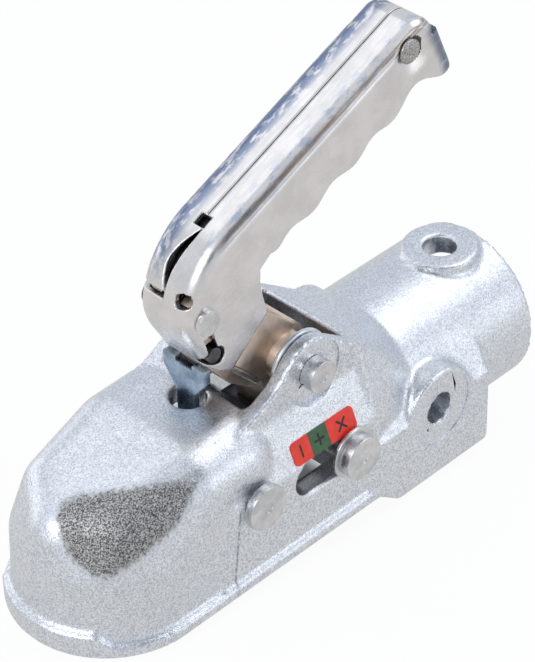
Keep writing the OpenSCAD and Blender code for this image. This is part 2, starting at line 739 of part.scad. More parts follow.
// Indicator slide: pin with washers and clip, the block that it carries and the spring behind it
washer_t = 1.5;
washer_r = 10;
slide_head_d = 16.8;
slide_head_t = 4.6;
slide_face = panel_y + side_gap + washer_t;
module indicator_pin() {
    color(plated) {
        rod(pin_rest, slot_z, slide_pin_d / 2, -slide_face, slide_face + pin_tail - 0.4);
        pin_head(pin_rest, slot_z, slide_head_d, slide_face, slide_head_t);
    }
}
module washer(y) {
    difference() {
        rod(pin_rest, slot_z, washer_r, y, y + washer_t);
        rod(pin_rest, slot_z, slide_pin_d / 2, y - 1, y + washer_t + 1);
    }
}
module near_washer() {
    color(plated) washer(-slide_face);
}
module far_washer() {
    color(plated) washer(panel_y + side_gap);
}
module indicator_clip() {
    color(dark_steel) clip(pin_rest, slot_z, slide_pin_d, slide_face + eps);
}
cheek_t = 5.6;
cheek_h = 18;
cheek_tail = 10;
seat_t = 3;
seat_gap = 12.4;
plate_x = pin_rest - seat_gap - seat_t;
plate_y = 8;
spring_z = -14;
spring_r = 4.5;
spring_wire = 1.8;
module thrust_block() {
    low = slot_z - cheek_h / 2;
    foot = spring_z - spring_r - 0.5;
    arm_room = arm_y + side_gap;
    color(dark_steel) difference() {
        union() {
            translate([plate_x, -arm_room - cheek_t, low])
                cube([seat_gap + seat_t + cheek_tail, 2 * (arm_room + cheek_t), cheek_h]);
            translate([plate_x, -plate_y, foot]) cube([seat_t, 2 * plate_y, low - foot + 1]);
        }
        translate([plate_x + seat_t, -arm_room, low - 1]) cube([far, 2 * arm_room, cheek_h + 2]);
        rod(pin_rest, slot_z, slide_pin_d / 2, -far, far);
    }
}
module pressure_spring() {
    color(dark_steel) translate([plate_x + seat_t + eps, 0, spring_z]) rotate([0, 90, 0])
        coil(spring_r, spring_wire, 6, cavity_back - plate_x - seat_t - 2 * eps);
}

// Label on the leaning part of the near panel
label_mid_x = pin_rest - 11.3;
lean = atan2(panel_y - ear_y, lean_top - panel_top);
label_r = 2;
label_t = 0.3;
label_rise = 1.8;
module indicator_label() {
    color([0.85, 0.15, 0.1]) translate([label_mid_x, -panel_y, panel_top]) rotate([90 - lean, 0, 0])
        translate([-label_l / 2, label_rise, eps]) linear_extrude(label_t) union() {
            translate([label_r, 0]) square([label_l - 2 * label_r, label_h]);
            translate([0, label_r]) square([label_l, label_h - 2 * label_r]);
            for (x = [label_r, label_l - label_r]) for (y = [label_r, label_h - label_r])
                translate([x, y]) circle(r = label_r, $fn = 24);
        }
}

housing();
ball_jaw();
jaw_pin();
jaw_pin_clip();
sensor_lever();
sensor_spring();
handle_shell();
inner_lever();
pivot_pin();
pivot_pin_clip();
pivot_bushes();
handle_rivet();
grip_rivet();
grip_spacer();
catch_lever();
catch_pin();
catch_spring();
indicator_pin();
near_washer();
far_washer();
indicator_clip();
thrust_block();
pressure_spring();
indicator_label();
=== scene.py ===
"""Looks of the trailer coupling head: casting, folded handle, pins, label, studio and camera."""

import logging
import math
from dataclasses import dataclass, field
from enum import Enum
from typing import Callable, Sequence

import bmesh
import bpy
import numpy as np
import openvdb as vdb
from mathutils import Matrix, Vector

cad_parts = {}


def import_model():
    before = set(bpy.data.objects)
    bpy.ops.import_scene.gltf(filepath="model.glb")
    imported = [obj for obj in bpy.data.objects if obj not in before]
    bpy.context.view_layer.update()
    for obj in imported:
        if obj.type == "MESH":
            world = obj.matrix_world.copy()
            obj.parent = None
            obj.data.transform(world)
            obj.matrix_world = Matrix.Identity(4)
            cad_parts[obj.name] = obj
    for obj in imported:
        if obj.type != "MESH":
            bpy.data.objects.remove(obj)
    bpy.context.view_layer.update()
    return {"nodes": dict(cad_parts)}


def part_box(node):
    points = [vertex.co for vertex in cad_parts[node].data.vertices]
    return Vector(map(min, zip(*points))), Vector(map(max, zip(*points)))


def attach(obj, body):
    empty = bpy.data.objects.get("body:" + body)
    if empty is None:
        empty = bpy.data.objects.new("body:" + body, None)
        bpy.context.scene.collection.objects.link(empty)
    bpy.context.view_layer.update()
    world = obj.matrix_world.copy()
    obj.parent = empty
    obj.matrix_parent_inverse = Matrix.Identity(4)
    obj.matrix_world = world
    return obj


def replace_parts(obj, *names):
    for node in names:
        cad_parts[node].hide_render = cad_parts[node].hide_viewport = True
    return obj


log = logging.getLogger("coupling")
MM = 0.001
Pair = tuple[float, float]
Place = tuple[float, float, float]
Colour = tuple[float, float, float]
Field = Callable[[np.ndarray], np.ndarray]

# Places in X and Z, angles in degrees and directions that several pieces share
PIVOT = (74.5, 43.6)
JAW_PIN = (39.5, 10.8)
GRIP_TOP = (52.5, 108.1)
GRIP_RISE = 23.2
LENGTHWISE, CROSSWISE, UPRIGHT = (1, 0, 0), (0, 1, 0), (0, 0, 1)


# Nodes
class Value:
    """What a node gives, with plain arithmetic where it is a number."""

    def __init__(self, wiring: "Wiring", socket: bpy.types.NodeSocket) -> None:
        """Keeps the socket and the tree that it belongs to."""
        self.wiring = wiring
        self.socket = socket

    def __add__(self, other: "Value | float") -> "Value":
        """The sum."""
        return self.wiring.math("ADD", self, other)

    def __sub__(self, other: "Value | float") -> "Value":
        """The difference."""
        return self.wiring.math("SUBTRACT", self, other)

    def __rsub__(self, other: float) -> "Value":
        """A number less this value."""
        return self.wiring.math("SUBTRACT", other, self)

    def __mul__(self, other: "Value | float") -> "Value":
        """The product."""
        return self.wiring.math("MULTIPLY", self, other)

    def __abs__(self) -> "Value":
        """The size without its sign."""
        return self.wiring.math("ABSOLUTE", self)


class Wiring:
    """Adds and joins nodes in one node tree."""

    def __init__(self, tree: bpy.types.NodeTree) -> None:
        """Empties the tree."""
        self.tree = tree
        tree.nodes.clear()

    def feed(self, socket: bpy.types.NodeSocket, value: object) -> None:
        """Joins an input to a value, or sets it.

        Args:
            socket: the input.
            value: a value to join, or a plain number, vector or colour.
        """
        if isinstance(value, Value):
            self.tree.links.new(value.socket, socket)
        else:
            socket.default_value = (*value, 1.0) if socket.type == "RGBA" else value

    def add(self, kind: str, inputs: dict[int | str, object] | None = None,
            **settings: object) -> bpy.types.Node:
        """Adds a node.

        Args:
            kind: the node's type.
            inputs: what goes into its inputs.
            settings: its plain attributes.

        Returns:
            The node.
        """
        node = self.tree.nodes.new(kind)
        for key, value in settings.items():
            setattr(node, key, value)
        for key, value in (inputs or {}).items():
            self.feed(node.inputs[key], value)
        return node

    def node(self, kind: str, inputs: dict[int | str, object] | None = None,
             **settings: object) -> Value:
        """Adds a node and gives its first output."""
        return Value(self, self.add(kind, inputs, **settings).outputs[0])

    def outputs(self, kind: str, inputs: dict[int | str, object] | None = None) -> dict[str, Value]:
        """Adds a node and gives all its outputs by name."""
        return {socket.name: Value(self, socket) for socket in self.add(kind, inputs).outputs}

    def math(self, operation: str, *values: Value | float) -> Value:
        """One arithmetic step."""
        return self.node("ShaderNodeMath", dict(enumerate(values)), operation=operation)


class Paint(Wiring):
    """Builds one node material step by step."""

    def __init__(self, name: str) -> None:
        """Starts an empty material.

        Args:
            name: its name.
        """
        self.material = bpy.data.materials.new(name)
        self.material.use_nodes = True
        super().__init__(self.material.node_tree)
        self.coords = self.outputs("ShaderNodeTexCoord")["Object"]

    def noise(self, size_mm: float, detail: float = 3.0, rough: float = 0.55,
              stretch: Place = (1, 1, 1), source: Value | None = None) -> Value:
        """A noise field whose features are about size_mm across.

        Args:
            size_mm: feature size in millimetres.
            detail: octaves.
            rough: roughness of the octaves.
            stretch: scale of the coordinates along X, Y and Z.
            source: coordinates to use instead of the object's own.

        Returns:
            The noise value, from 0 to 1.
        """
        mapped = self.node("ShaderNodeMapping", {"Vector": source or self.coords, "Scale": stretch})
        return self.node("ShaderNodeTexNoise", {"Vector": mapped, "Scale": 1 / (size_mm * MM),
                                                "Detail": detail, "Roughness": rough})

    def curve(self, value: Value, low: float, high: float, out_low: float = 0.0,
              out_high: float = 1.0) -> Value:
        """Maps low..high to out_low..out_high smoothly and clamps.

        Args:
            value: what to map.
            low: where the change starts.
            high: where it ends.
            out_low: result at low.
            out_high: result at high.

        Returns:
            The mapped value.
        """
        return self.node("ShaderNodeMapRange",
                         {"Value": value, "From Min": low, "From Max": high, "To Min": out_low,
                          "To Max": out_high}, interpolation_type="SMOOTHSTEP")

    def past(self, value: Value, low: float, high: float, full: float = 1.0) -> Value:
        """Rises from 0 to full between two places in millimetres."""
        return self.curve(value, low * MM, high * MM, 0.0, full)

    def short_of(self, value: Value, low: float, high: float, full: float = 1.0) -> Value:
        """Falls from full to 0 between two places in millimetres."""
        return self.curve(value, low * MM, high * MM, full, 0.0)

    def mix(self, factor: Value, first: object, second: object) -> Value:
        """Mixes two colours.

        Args:
            factor: share of the second.
            first: a colour or a value.
            second: a colour or a value.

        Returns:
            The mixed colour.
        """
        node = self.add("ShaderNodeMix", {"Factor": factor}, data_type="RGBA")
        coloured = [socket for socket in node.inputs if socket.type == "RGBA"]
        for socket, value in zip(coloured, (first, second)):
            self.feed(socket, value)
        return Value(self, next(socket for socket in node.outputs if socket.type == "RGBA"))

    def wandering(self, value: Value, finish: "Finish", less: float, more: float) -> Value:
        """Roughness that goes with a noise value about the finish's own."""
        return self.curve(value, 0.3, 0.7, finish.roughness - less, finish.roughness + more)

    def end(self, shader: Value) -> bpy.types.Material:
        """Joins a shader to the material's output."""
        self.add("ShaderNodeOutputMaterial", {"Surface": shader})
        return self.material

    def surface(self, finish: "Finish", colour: Value, rough: Value, height: Value,
                relief_mm: float = 1.0) -> bpy.types.Material:
        """Ends the material in one shader with bumped normals.

        Args:
            finish: the finish that is built.
            colour: base colour.
            rough: roughness.
            height: height field of the detail.
            relief_mm: what a height of 1 is in millimetres.

        Returns:
            The finished material.
        """
        normal = self.node("ShaderNodeBump", {"Distance": relief_mm * MM, "Strength": 1.0,
                                              "Height": height})
        return self.end(self.node("ShaderNodeBsdfPrincipled", {
            "Base Color": colour, "Roughness": rough, "Metallic": finish.metallic, "Normal": normal}))


# Finishes
class Pattern(Enum):
    """The kind of surface detail that a finish carries."""

    GRAIN = "grain"
    CASTING = "casting"
    SHEET = "sheet"
    HANDLE = "handle"
    MACHINED = "machined"
    PRINT = "print"


WAVE_GAIN = 8


@dataclass(frozen=True)
class Finish:
    """One real surface finish, with the sizes of its detail in millimetres."""

    name: str
    colour: Colour
    shade: Colour
    metallic: float
    roughness: float
    pattern: Pattern
    grain_mm: float = 0.6
    depth: float = 0.2
    wave_mm: float = 6.0
    wave_depth: float = 0.1

    @property
    def wave_height(self) -> float:
        """Height that the soft waves add to the height field."""
        return self.wave_depth * WAVE_GAIN


class Grain:
    """Crystals, soft lumps and a few pits of the plate on a casting."""

    pit_mm = 4.5
    pit_depth = 0.10

    def __init__(self, paint: Paint, finish: Finish, coarser: float, fine_share: float) -> None:
        """Lays the grain.

        Args:
            paint: the material.
            finish: its finish.
            coarser: size of the coarse crystals over that of the fine ones.
            fine_share: share of the fine crystals.
        """
        self.fine = paint.noise(finish.grain_mm, 1.5, 0.6)
        self.coarse = paint.noise(finish.grain_mm * coarser, 2.0, 0.6)
        self.lumps = paint.noise(finish.wave_mm, 2.0, 0.5)
        self.speckle = self.fine * fine_share + self.coarse * (1 - fine_share)
        pits = paint.curve(paint.noise(self.pit_mm, 1.0, 0.4), 0.72, 0.76)
        self.height = (self.speckle * finish.depth + self.lumps * finish.wave_height
                       - pits * self.pit_depth)


def grain_material(finish: Finish) -> bpy.types.Material:
    """Zinc plate over a grainy casting: crystals, soft lumps and a few dark pits.

    Args:
        finish: the finish to build.

    Returns:
        The material.
    """
    paint = Paint(finish.name)
    grain = Grain(paint, finish, 2.3, 0.65)
    colour = paint.mix(paint.curve(grain.speckle, 0.38, 0.62), finish.shade, finish.colour)
    return paint.surface(finish, colour, paint.wandering(grain.lumps, finish, 0.05, 0.06), grain.height)


@dataclass(frozen=True)
class DarkReflectionPatch:
    """The painted dark reflection on the dome's near shoulder, dull, within seven sides with soft corners.

    Each side is its direction along right and up, and its distance from the origin in millimetres.
    """

    right: Place = (0.702, -0.7119, -0.0216)
    up: Place = (0.4485, 0.4184, 0.7898)
    sides: tuple[Place, ...] = (
        (-0.148, 0.989, 17.3), (0.954, -0.298, 24.1), (0.707, -0.707, 13.1), (0.447, -0.894, 11.4),
        (-0.507, -0.862, 11.4), (-0.869, -0.495, 12.3), (-0.999, -0.038, 15.6))
    corner_mm: float = 7.0
    ragged_mm: float = 6.5
    dark: Colour = (0.11, 0.106, 0.102)
    light: Colour = (0.62, 0.61, 0.605)
    rougher: float = 0.22

    def share(self, paint: Paint, grain: Grain, y: Value) -> Value:
        """How much of the painted dark reflection a point gets.

        Args:
            paint: the casting's material.
            grain: its grain.
            y: distance of the point across the part.

        Returns:
            The share, from 0 to 1.
        """
        dark_reflection = None
        for across, upward, reach in self.sides:
            turned = [across * a + upward * b for a, b in zip(self.right, self.up)]
            dot = paint.add("ShaderNodeVectorMath", {0: paint.coords, 1: turned}, operation="DOT_PRODUCT")
            side = reach * MM - Value(paint, dot.outputs["Value"])
            dark_reflection = side if dark_reflection is None else paint.math("SMOOTH_MIN", dark_reflection, side, self.corner_mm * MM)
        dark_reflection = dark_reflection + (grain.fine + grain.coarse - 1.0) * (self.ragged_mm * MM)
        return paint.past(dark_reflection, -0.6, 1.2) * paint.short_of(y, -4, 4)


@dataclass(frozen=True)
class CreaseShade:
    """A thin line of painted shade in the crease behind the nose, on the near side of the lower dome."""

    foot_x: float = 27.4
    lean: float = 0.124
    tone: Colour = (0.16, 0.17, 0.20)

    def share(self, paint: Paint, grain: Grain, point: Sequence[Value]) -> Value:
        """How much painted shade the crease line gives a point.

        Args:
            paint: the casting's material.
            grain: its grain.
            point: X, Y and Z of the point.

        Returns:
            The share, from 0 to 1.
        """
        x, y, z = point
        off = abs(x - z * self.lean - self.foot_x * MM)
        return (paint.short_of(off, 0.1, 0.8, 0.75) * paint.short_of(y, -27, -24)
                * paint.short_of(z, 10, 18) * paint.curve(grain.coarse, 0.35, 0.55))


def casting_material(finish: Finish) -> bpy.types.Material:
    """Zinc plate of the casting, with painted shade along its crease line and a painted dark reflection on
    the dome's shoulder.

    Args:
        finish: the finish to build.

    Returns:
        The material.
    """
    paint = Paint(finish.name)
    reflection_patch, crease = DarkReflectionPatch(), CreaseShade()
    grain = Grain(paint, finish, 2.6, 0.75)
    point = list(paint.outputs("ShaderNodeSeparateXYZ", {0: paint.coords}).values())
    colour = paint.mix(paint.curve(grain.speckle, 0.36, 0.62), finish.shade, finish.colour)
    # painted shade along the crease behind the nose
    colour = paint.mix(crease.share(paint, grain, point), colour, crease.tone)
    # painted dark reflection: the shoulder's colour is darkened and made rougher where something dark would
    # be reflected
    dark_reflection = reflection_patch.share(paint, grain, point[1])
    colour = paint.mix(dark_reflection, colour, paint.mix(paint.curve(grain.fine, 0.36, 0.66), reflection_patch.dark, reflection_patch.light))
    rough = paint.wandering(grain.lumps, finish, 0.04, 0.06) + dark_reflection * reflection_patch.rougher
    return paint.surface(finish, colour, rough, grain.height)


def sheet_material(finish: Finish) -> bpy.types.Material:
    """Plated sheet: smooth, slightly wavy, with drawn lines and cloudy tone.

    Args:
        finish: the finish to build.

    Returns:
        The material.
    """
    paint = Paint(finish.name)
    lines = paint.noise(finish.grain_mm, 2.0, 0.6, (0.08, 1, 0.25))
    colour = paint.mix(paint.curve(paint.noise(14.0, 3.0, 0.6), 0.35, 0.65), finish.shade, finish.colour)
    height = lines * finish.depth + paint.noise(finish.wave_mm, 2.0, 0.5) * finish.wave_height
    return paint.surface(finish, colour, paint.wandering(paint.noise(3.0), finish, 0.05, 0.08), height)


@dataclass(frozen=True)
class HandleTones:
    """Tones of the marks on the handle's plate: painted reflections on the flanges and at the grip end, a
    brown tint with painted reflections in the near fold, and the dark seam.
    """

    far_flange_reflection: Colour = (0.22, 0.27, 0.39)
    near_flange_reflection: Colour = (0.50, 0.57, 0.70)
    fold_tint_and_reflection: Colour = (0.40, 0.30, 0.22)
    fold_dark_reflection: Colour = (0.20, 0.20, 0.22)
    grip_end_reflection: Colour = (0.20, 0.24, 0.32)
    seam: Colour = (0.02, 0.02, 0.022)


def handle_material(finish: Finish) -> bpy.types.Material:
    """Plated handle sheet: streaks along the grip, a painted dark blue reflection on the far flange, a
    painted pale one on the near flange, a brown tint with painted reflections in the near fold, and a
    painted dark reflection at the grip end.

    Args:
        finish: the finish to build.

    Returns:
        The material.
    """
    paint, tones = Paint(finish.name), HandleTones()
    sin, cos = math.sin(math.radians(GRIP_RISE)), math.cos(math.radians(GRIP_RISE))
    x, y, z = paint.outputs("ShaderNodeSeparateXYZ", {0: paint.coords}).values()
    along = x * cos + z * sin
    above = z * cos - x * sin - (GRIP_TOP[1] * cos - GRIP_TOP[0] * sin) * MM
    fold = y * -1.0 - above
    drawn = paint.node("ShaderNodeCombineXYZ", {0: along * 0.12, 1: y, 2: above})
    lines = paint.noise(1.5, 3.0, 0.6, source=drawn)
    blots = paint.noise(2.6, 4.0, 0.65, (3.2, 1, 1), drawn)
    colour = paint.mix(paint.curve(paint.noise(12.0, 3.0, 0.6), 0.35, 0.65), finish.shade, finish.colour)
    marks = (
        # painted dark blue reflection on the far flange
        (tones.far_flange_reflection, paint.past(y, 2, 7.5) * paint.past(above, -12, -2)
         * paint.curve(blots, 0.38, 0.52, 0.15, 1.0)),
        # painted pale blue reflection on the near flange
        (tones.near_flange_reflection, paint.short_of(y, -9, -4) * paint.past(above, -4.5, -1.5)
         * paint.curve(blots, 0.50, 0.58, 0.0, 0.8)),
        # brown of the plate's chromate tint and a painted reflection in the near fold
        (tones.fold_tint_and_reflection, paint.past(fold, 11.5, 12.8) * paint.short_of(fold, 13.8, 15.0)
         * paint.curve(lines, 0.35, 0.6, 0.25, 0.9) * paint.past(along, 80, 90)),
        # painted dark reflection line in the near fold
        (tones.fold_dark_reflection, paint.past(fold, 14.6, 15.2) * paint.short_of(fold, 15.5, 16.3)
         * paint.past(along, 80, 90, 0.55)),
        # painted dark reflection on the lower part of the grip end
        (tones.grip_end_reflection, paint.past(along, 188, 192.5) * paint.past(above, -4, -7.5)
         * paint.curve(blots, 0.35, 0.55, 0.45, 0.95)),
        (tones.seam, paint.short_of(abs(y), 0.12, 0.3) * paint.past(above, -13, -12)
         * paint.past(along, 90.5, 91.5)))
    for tone, share in marks:
        colour = paint.mix(share, colour, tone)
    height = lines * finish.depth + paint.noise(finish.wave_mm, 2.0, 0.5) * finish.wave_height
    return paint.surface(finish, colour, paint.wandering(lines, finish, 0.03, 0.08), height)


def machined_material(finish: Finish) -> bpy.types.Material:
    """Turned or pressed steel with a faint mottled plate.

    Args:
        finish: the finish to build.

    Returns:
        The material.
    """
    paint = Paint(finish.name)
    mottle = paint.noise(finish.grain_mm, 3.0, 0.6)
    colour = paint.mix(paint.curve(paint.noise(5.0, 2.0, 0.5), 0.3, 0.7), finish.shade, finish.colour)
    return paint.surface(finish, colour, paint.wandering(mottle, finish, 0.06, 0.08), mottle, finish.depth)


def print_material(finish: Finish) -> bpy.types.Material:
    """Printed film with a fine tooth.

    Args:
        finish: the finish to build.

    Returns:
        The material.
    """
    paint = Paint(finish.name)
    tooth = paint.noise(0.25, 2.0, 0.6)
    colour = paint.mix(paint.curve(paint.noise(2.2, 2.0, 0.5), 0.35, 0.65), finish.shade, finish.colour)
    return paint.surface(finish, colour, paint.wandering(tooth, finish, 0.05, 0.08), tooth, finish.depth)


BUILDERS: dict[Pattern, Callable[[Finish], bpy.types.Material]] = {
    Pattern.GRAIN: grain_material,
    Pattern.CASTING: casting_material,
    Pattern.SHEET: sheet_material,
    Pattern.HANDLE: handle_material,
    Pattern.MACHINED: machined_material,
    Pattern.PRINT: print_material,
}

CAST_ZINC = Finish("cast_zinc_plate", (0.91, 0.925, 0.955), (0.56, 0.59, 0.64), 1.0, 0.34,
                   Pattern.CASTING, 0.55, 0.15, 6.0, 0.02)
JAW_ZINC = Finish("jaw_zinc_plate", (0.70, 0.73, 0.77), (0.50, 0.52, 0.56), 1.0, 0.36,
                  Pattern.GRAIN, 0.6, 0.10, 6.0, 0.02)
WORN_HEAD = Finish("worn_head", (0.62, 0.61, 0.59), (0.26, 0.25, 0.24), 1.0, 0.36,
                   Pattern.GRAIN, 0.45, 0.15, 4.0, 0.02)
TONGUE_ZINC = Finish("tongue_zinc", (0.50, 0.60, 0.69), (0.26, 0.34, 0.43), 1.0, 0.30,
                     Pattern.MACHINED, 1.2, 0.05)
PLATED_SHEET = Finish("plated_sheet", (0.83, 0.80, 0.785), (0.74, 0.715, 0.70), 1.0, 0.28,
                      Pattern.HANDLE, 1.1, 0.012, 7.0, 0.010)
# painted shade, with some grease: the faces deep inside the folded handle are made near black
INNER_SHADE_AND_GREASE = Finish("inner_sheet", (0.10, 0.095, 0.09), (0.05, 0.048, 0.046), 0.6, 0.55,
                     Pattern.MACHINED, 1.4, 0.05)
BRONZE_SHEET = Finish("bronze_sheet", (0.84, 0.70, 0.59), (0.60, 0.49, 0.41), 1.0, 0.38,
                      Pattern.SHEET, 0.9, 0.05, 6.0, 0.01)
FLANGE_ZINC = Finish("flange_zinc", (0.84, 0.87, 0.91), (0.62, 0.66, 0.71), 1.0, 0.32,
                     Pattern.SHEET, 0.9, 0.03, 6.0, 0.01)
PIN_STEEL = Finish("pin_steel", (0.76, 0.755, 0.75), (0.60, 0.60, 0.61), 1.0, 0.27,
                   Pattern.MACHINED, 1.4, 0.05)
# painted shade: the catch lever is made near black, as it is only seen in the shade of the gap
CATCH_STEEL_SHADE = Finish("catch_steel", (0.10, 0.10, 0.10), (0.05, 0.05, 0.05), 1.0, 0.42,
                     Pattern.MACHINED, 1.0, 0.05)
DARK_STEEL = Finish("dark_steel", (0.16, 0.16, 0.17), (0.10, 0.10, 0.11), 1.0, 0.42,
                    Pattern.MACHINED, 1.0, 0.08)
BUSH_METAL = Finish("bush_metal", (0.55, 0.46, 0.32), (0.42, 0.34, 0.22), 1.0, 0.35,
                    Pattern.MACHINED, 1.0, 0.05)
PRINT_RED = Finish("print_red", (0.80, 0.035, 0.015), (0.70, 0.028, 0.012), 0.0, 0.38,
                   Pattern.PRINT, depth=0.02)
PRINT_GREEN = Finish("print_green", (0.045, 0.115, 0.045), (0.036, 0.09, 0.036), 0.0, 0.42,
                     Pattern.PRINT, depth=0.02)
PRINT_BLACK = Finish("print_black", (0.012, 0.012, 0.012), (0.006, 0.006, 0.006), 0.0, 0.45,
                     Pattern.PRINT, depth=0.02)
_made: dict[str, bpy.types.Material] = {}


def material_of(finish: Finish) -> bpy.types.Material:
    """The material of a finish, built once.

    Args:
        finish: the finish.

    Returns:
        Its material.
    """
    if finish.name not in _made:
        _made[finish.name] = BUILDERS[finish.pattern](finish)
    return _made[finish.name]


# Mesh tools
def new_object(name: str, data: bpy.types.ID) -> bpy.types.Object:
    """Links data into the scene as an object at the origin.

    Args:
        name: name of the object.
        data: its mesh, lamp or camera.

    Returns:
        The object.
    """
    piece = bpy.data.objects.new(name, data)
    bpy.context.scene.collection.objects.link(piece)
    return piece


def arc(centre: Pair, radius: float, start: float, end: float, count: int) -> list[Pair]:
    """Points on an arc.

    Args:
        centre: its centre.
        radius: its radius.
        start: its first angle in degrees.
        end: its last angle in degrees.
        count: number of points.

    Returns:
        The points.
    """
    return [(centre[0] + radius * math.cos(a), centre[1] + radius * math.sin(a))
            for a in np.radians(np.linspace(start, end, count))]


def mesh_from(name: str, points: np.ndarray, faces: Sequence[Sequence[int]]) -> bpy.types.Mesh:
    """Builds a mesh from points in millimetres.

    Args:
        name: name of the mesh.
        points: N by 3 points in millimetres.
        faces: point numbers of each face.

    Returns:
        The mesh, in metres.
    """
    mesh = bpy.data.meshes.new(name)
    mesh.from_pydata((np.asarray(points, float) * MM).tolist(), [], [list(f) for f in faces])
    mesh.validate()
    mesh.update()
    return mesh


def mesh_arrays(mesh: bpy.types.Mesh) -> tuple[np.ndarray, np.ndarray]:
    """Reads a mesh into arrays.

    Args:
        mesh: the mesh, in metres.

    Returns:
        Its points in millimetres, and its triangles.
    """
    mesh.calc_loop_triangles()
    points = np.zeros(len(mesh.vertices) * 3, np.float32)
    mesh.vertices.foreach_get("co", points)
    corners = np.zeros(len(mesh.loop_triangles) * 3, np.int32)
    mesh.loop_triangles.foreach_get("vertices", corners)
    return points.reshape(-1, 3) / MM, corners.reshape(-1, 3)


def merged_copy(node: bpy.types.Object, name: str) -> bpy.types.Mesh:
    """A copy of a CAD node's mesh with its loose triangles joined.

    Args:
        node: the CAD node.
        name: name of the copy.

    Returns:
        The joined mesh.
    """
    mesh = node.data.copy()
    mesh.name = name
    shape = bmesh.new()
    shape.from_mesh(mesh)
    bmesh.ops.remove_doubles(shape, verts=shape.verts, dist=1e-6)
    shape.to_mesh(mesh)
    shape.free()
    mesh.materials.clear()
    return mesh


def baked(piece: bpy.types.Object) -> bpy.types.Object:
    """Applies all modifiers of a piece into a plain mesh.

    Args:
        piece: the piece with its modifiers.

    Returns:
        The same piece, with none left.
    """
    graph = bpy.context.evaluated_depsgraph_get()
    mesh = bpy.data.meshes.new_from_object(piece.evaluated_get(graph))
    piece.modifiers.clear()
    piece.data = mesh
    return piece


def shade(mesh: bpy.types.Mesh, angle: float = 32) -> None:
    """Gives smooth shading with sharp edges.

    Args:
        mesh: the mesh.
        angle: angle in degrees above which an edge is sharp.
    """
    mesh.polygons.foreach_set("use_smooth", [True] * len(mesh.polygons))
    mesh.set_sharp_from_angle(angle=math.radians(angle))
    mesh.update()


def subtract(body: bpy.types.Object, cutters: Sequence[bpy.types.Mesh]) -> bpy.types.Object:
    """Cuts closed meshes out of a body.

    Args:
        body: the object to cut.
        cutters: closed meshes, in place.

    Returns:
        The body, with a plain mesh.
    """
    tools = []
    for mesh in cutters:
        tool = new_object("cutter", mesh)
        cut = body.modifiers.new("cut", "BOOLEAN")
        cut.operation, cut.solver, cut.object = "DIFFERENCE", "MANIFOLD", tool
        tools.append(tool)
    baked(body)
    for tool in tools:
        bpy.data.objects.remove(tool)
    return body


def bevelled(piece: bpy.types.Object, width: float, angle: float) -> bpy.types.Object:
    """Rounds the sharp edges of a piece.

    Args:
        piece: the piece.
        width: width of the rounding in millimetres.
        angle: angle in degrees above which an edge is rounded.

    Returns:
        The piece, with a plain mesh and smooth shading.
    """
    bevel = piece.modifiers.new("edges", "BEVEL")
    bevel.width, bevel.segments = width * MM, 3
    bevel.limit_method, bevel.angle_limit = "ANGLE", math.radians(angle)
    baked(piece)
    shade(piece.data)
    return piece


def finished(piece: bpy.types.Object, finish: Finish, body: str, slot: str,
             node: str | None = None) -> bpy.types.Object:
    """Gives a piece its finish and lets it ride on a body.

    Args:
        piece: the piece.
        finish: its finish.
        body: the body that it rides on.
        slot: not used.
        node: the CAD node that it replaces, if any.

    Returns:
        The piece.
    """
    piece.data.materials.clear()
    piece.data.materials.append(material_of(finish))
    if node is not None:
        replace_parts(piece, node)
    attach(piece, body)
    return piece


def cylinder_mesh(centre: Sequence[float], axis: Sequence[float], radius: float, length: float,
                  sides: int = 96) -> bpy.types.Mesh:
    """A closed cylinder about a centre, in millimetres.

    Args:
        centre: middle of the cylinder.
        axis: direction of its axis.
        radius: radius.
        length: whole length.
        sides: number of sides.

    Returns:
        The mesh, in metres.
    """
    shape = bmesh.new()
    bmesh.ops.create_cone(shape, cap_ends=True, segments=sides, radius1=radius * MM,
                          radius2=radius * MM, depth=length * MM)
    turn = Vector((0, 0, 1)).rotation_difference(Vector(axis)).to_matrix().to_4x4()
    shape.transform(Matrix.Translation(Vector(centre) * MM) @ turn)
    mesh = bpy.data.meshes.new("cylinder")
    shape.to_mesh(mesh)
    shape.free()
    return mesh


def prism_mesh(outline: Sequence[Pair], y0: float, y1: float) -> bpy.types.Mesh:
    """A closed prism across the part.

    Args:
        outline: points in X and Z, in millimetres.
        y0: one end.
        y1: the other end.

    Returns:
        The mesh, in metres.
    """
    area = sum(a[0] * b[1] - b[0] * a[1] for a, b in zip(outline, (*outline[1:], outline[0])))
    ring = list(outline) if area > 0 else list(reversed(outline))
    count = len(ring)
    points = [(x, y0, z) for x, z in ring] + [(x, y1, z) for x, z in ring]
    faces = [list(range(count)), list(range(2 * count - 1, count - 1, -1))]
    faces += [[i, i + count, (i + 1) % count + count, (i + 1) % count] for i in range(count)]
    return mesh_from("prism", np.array(points), faces)


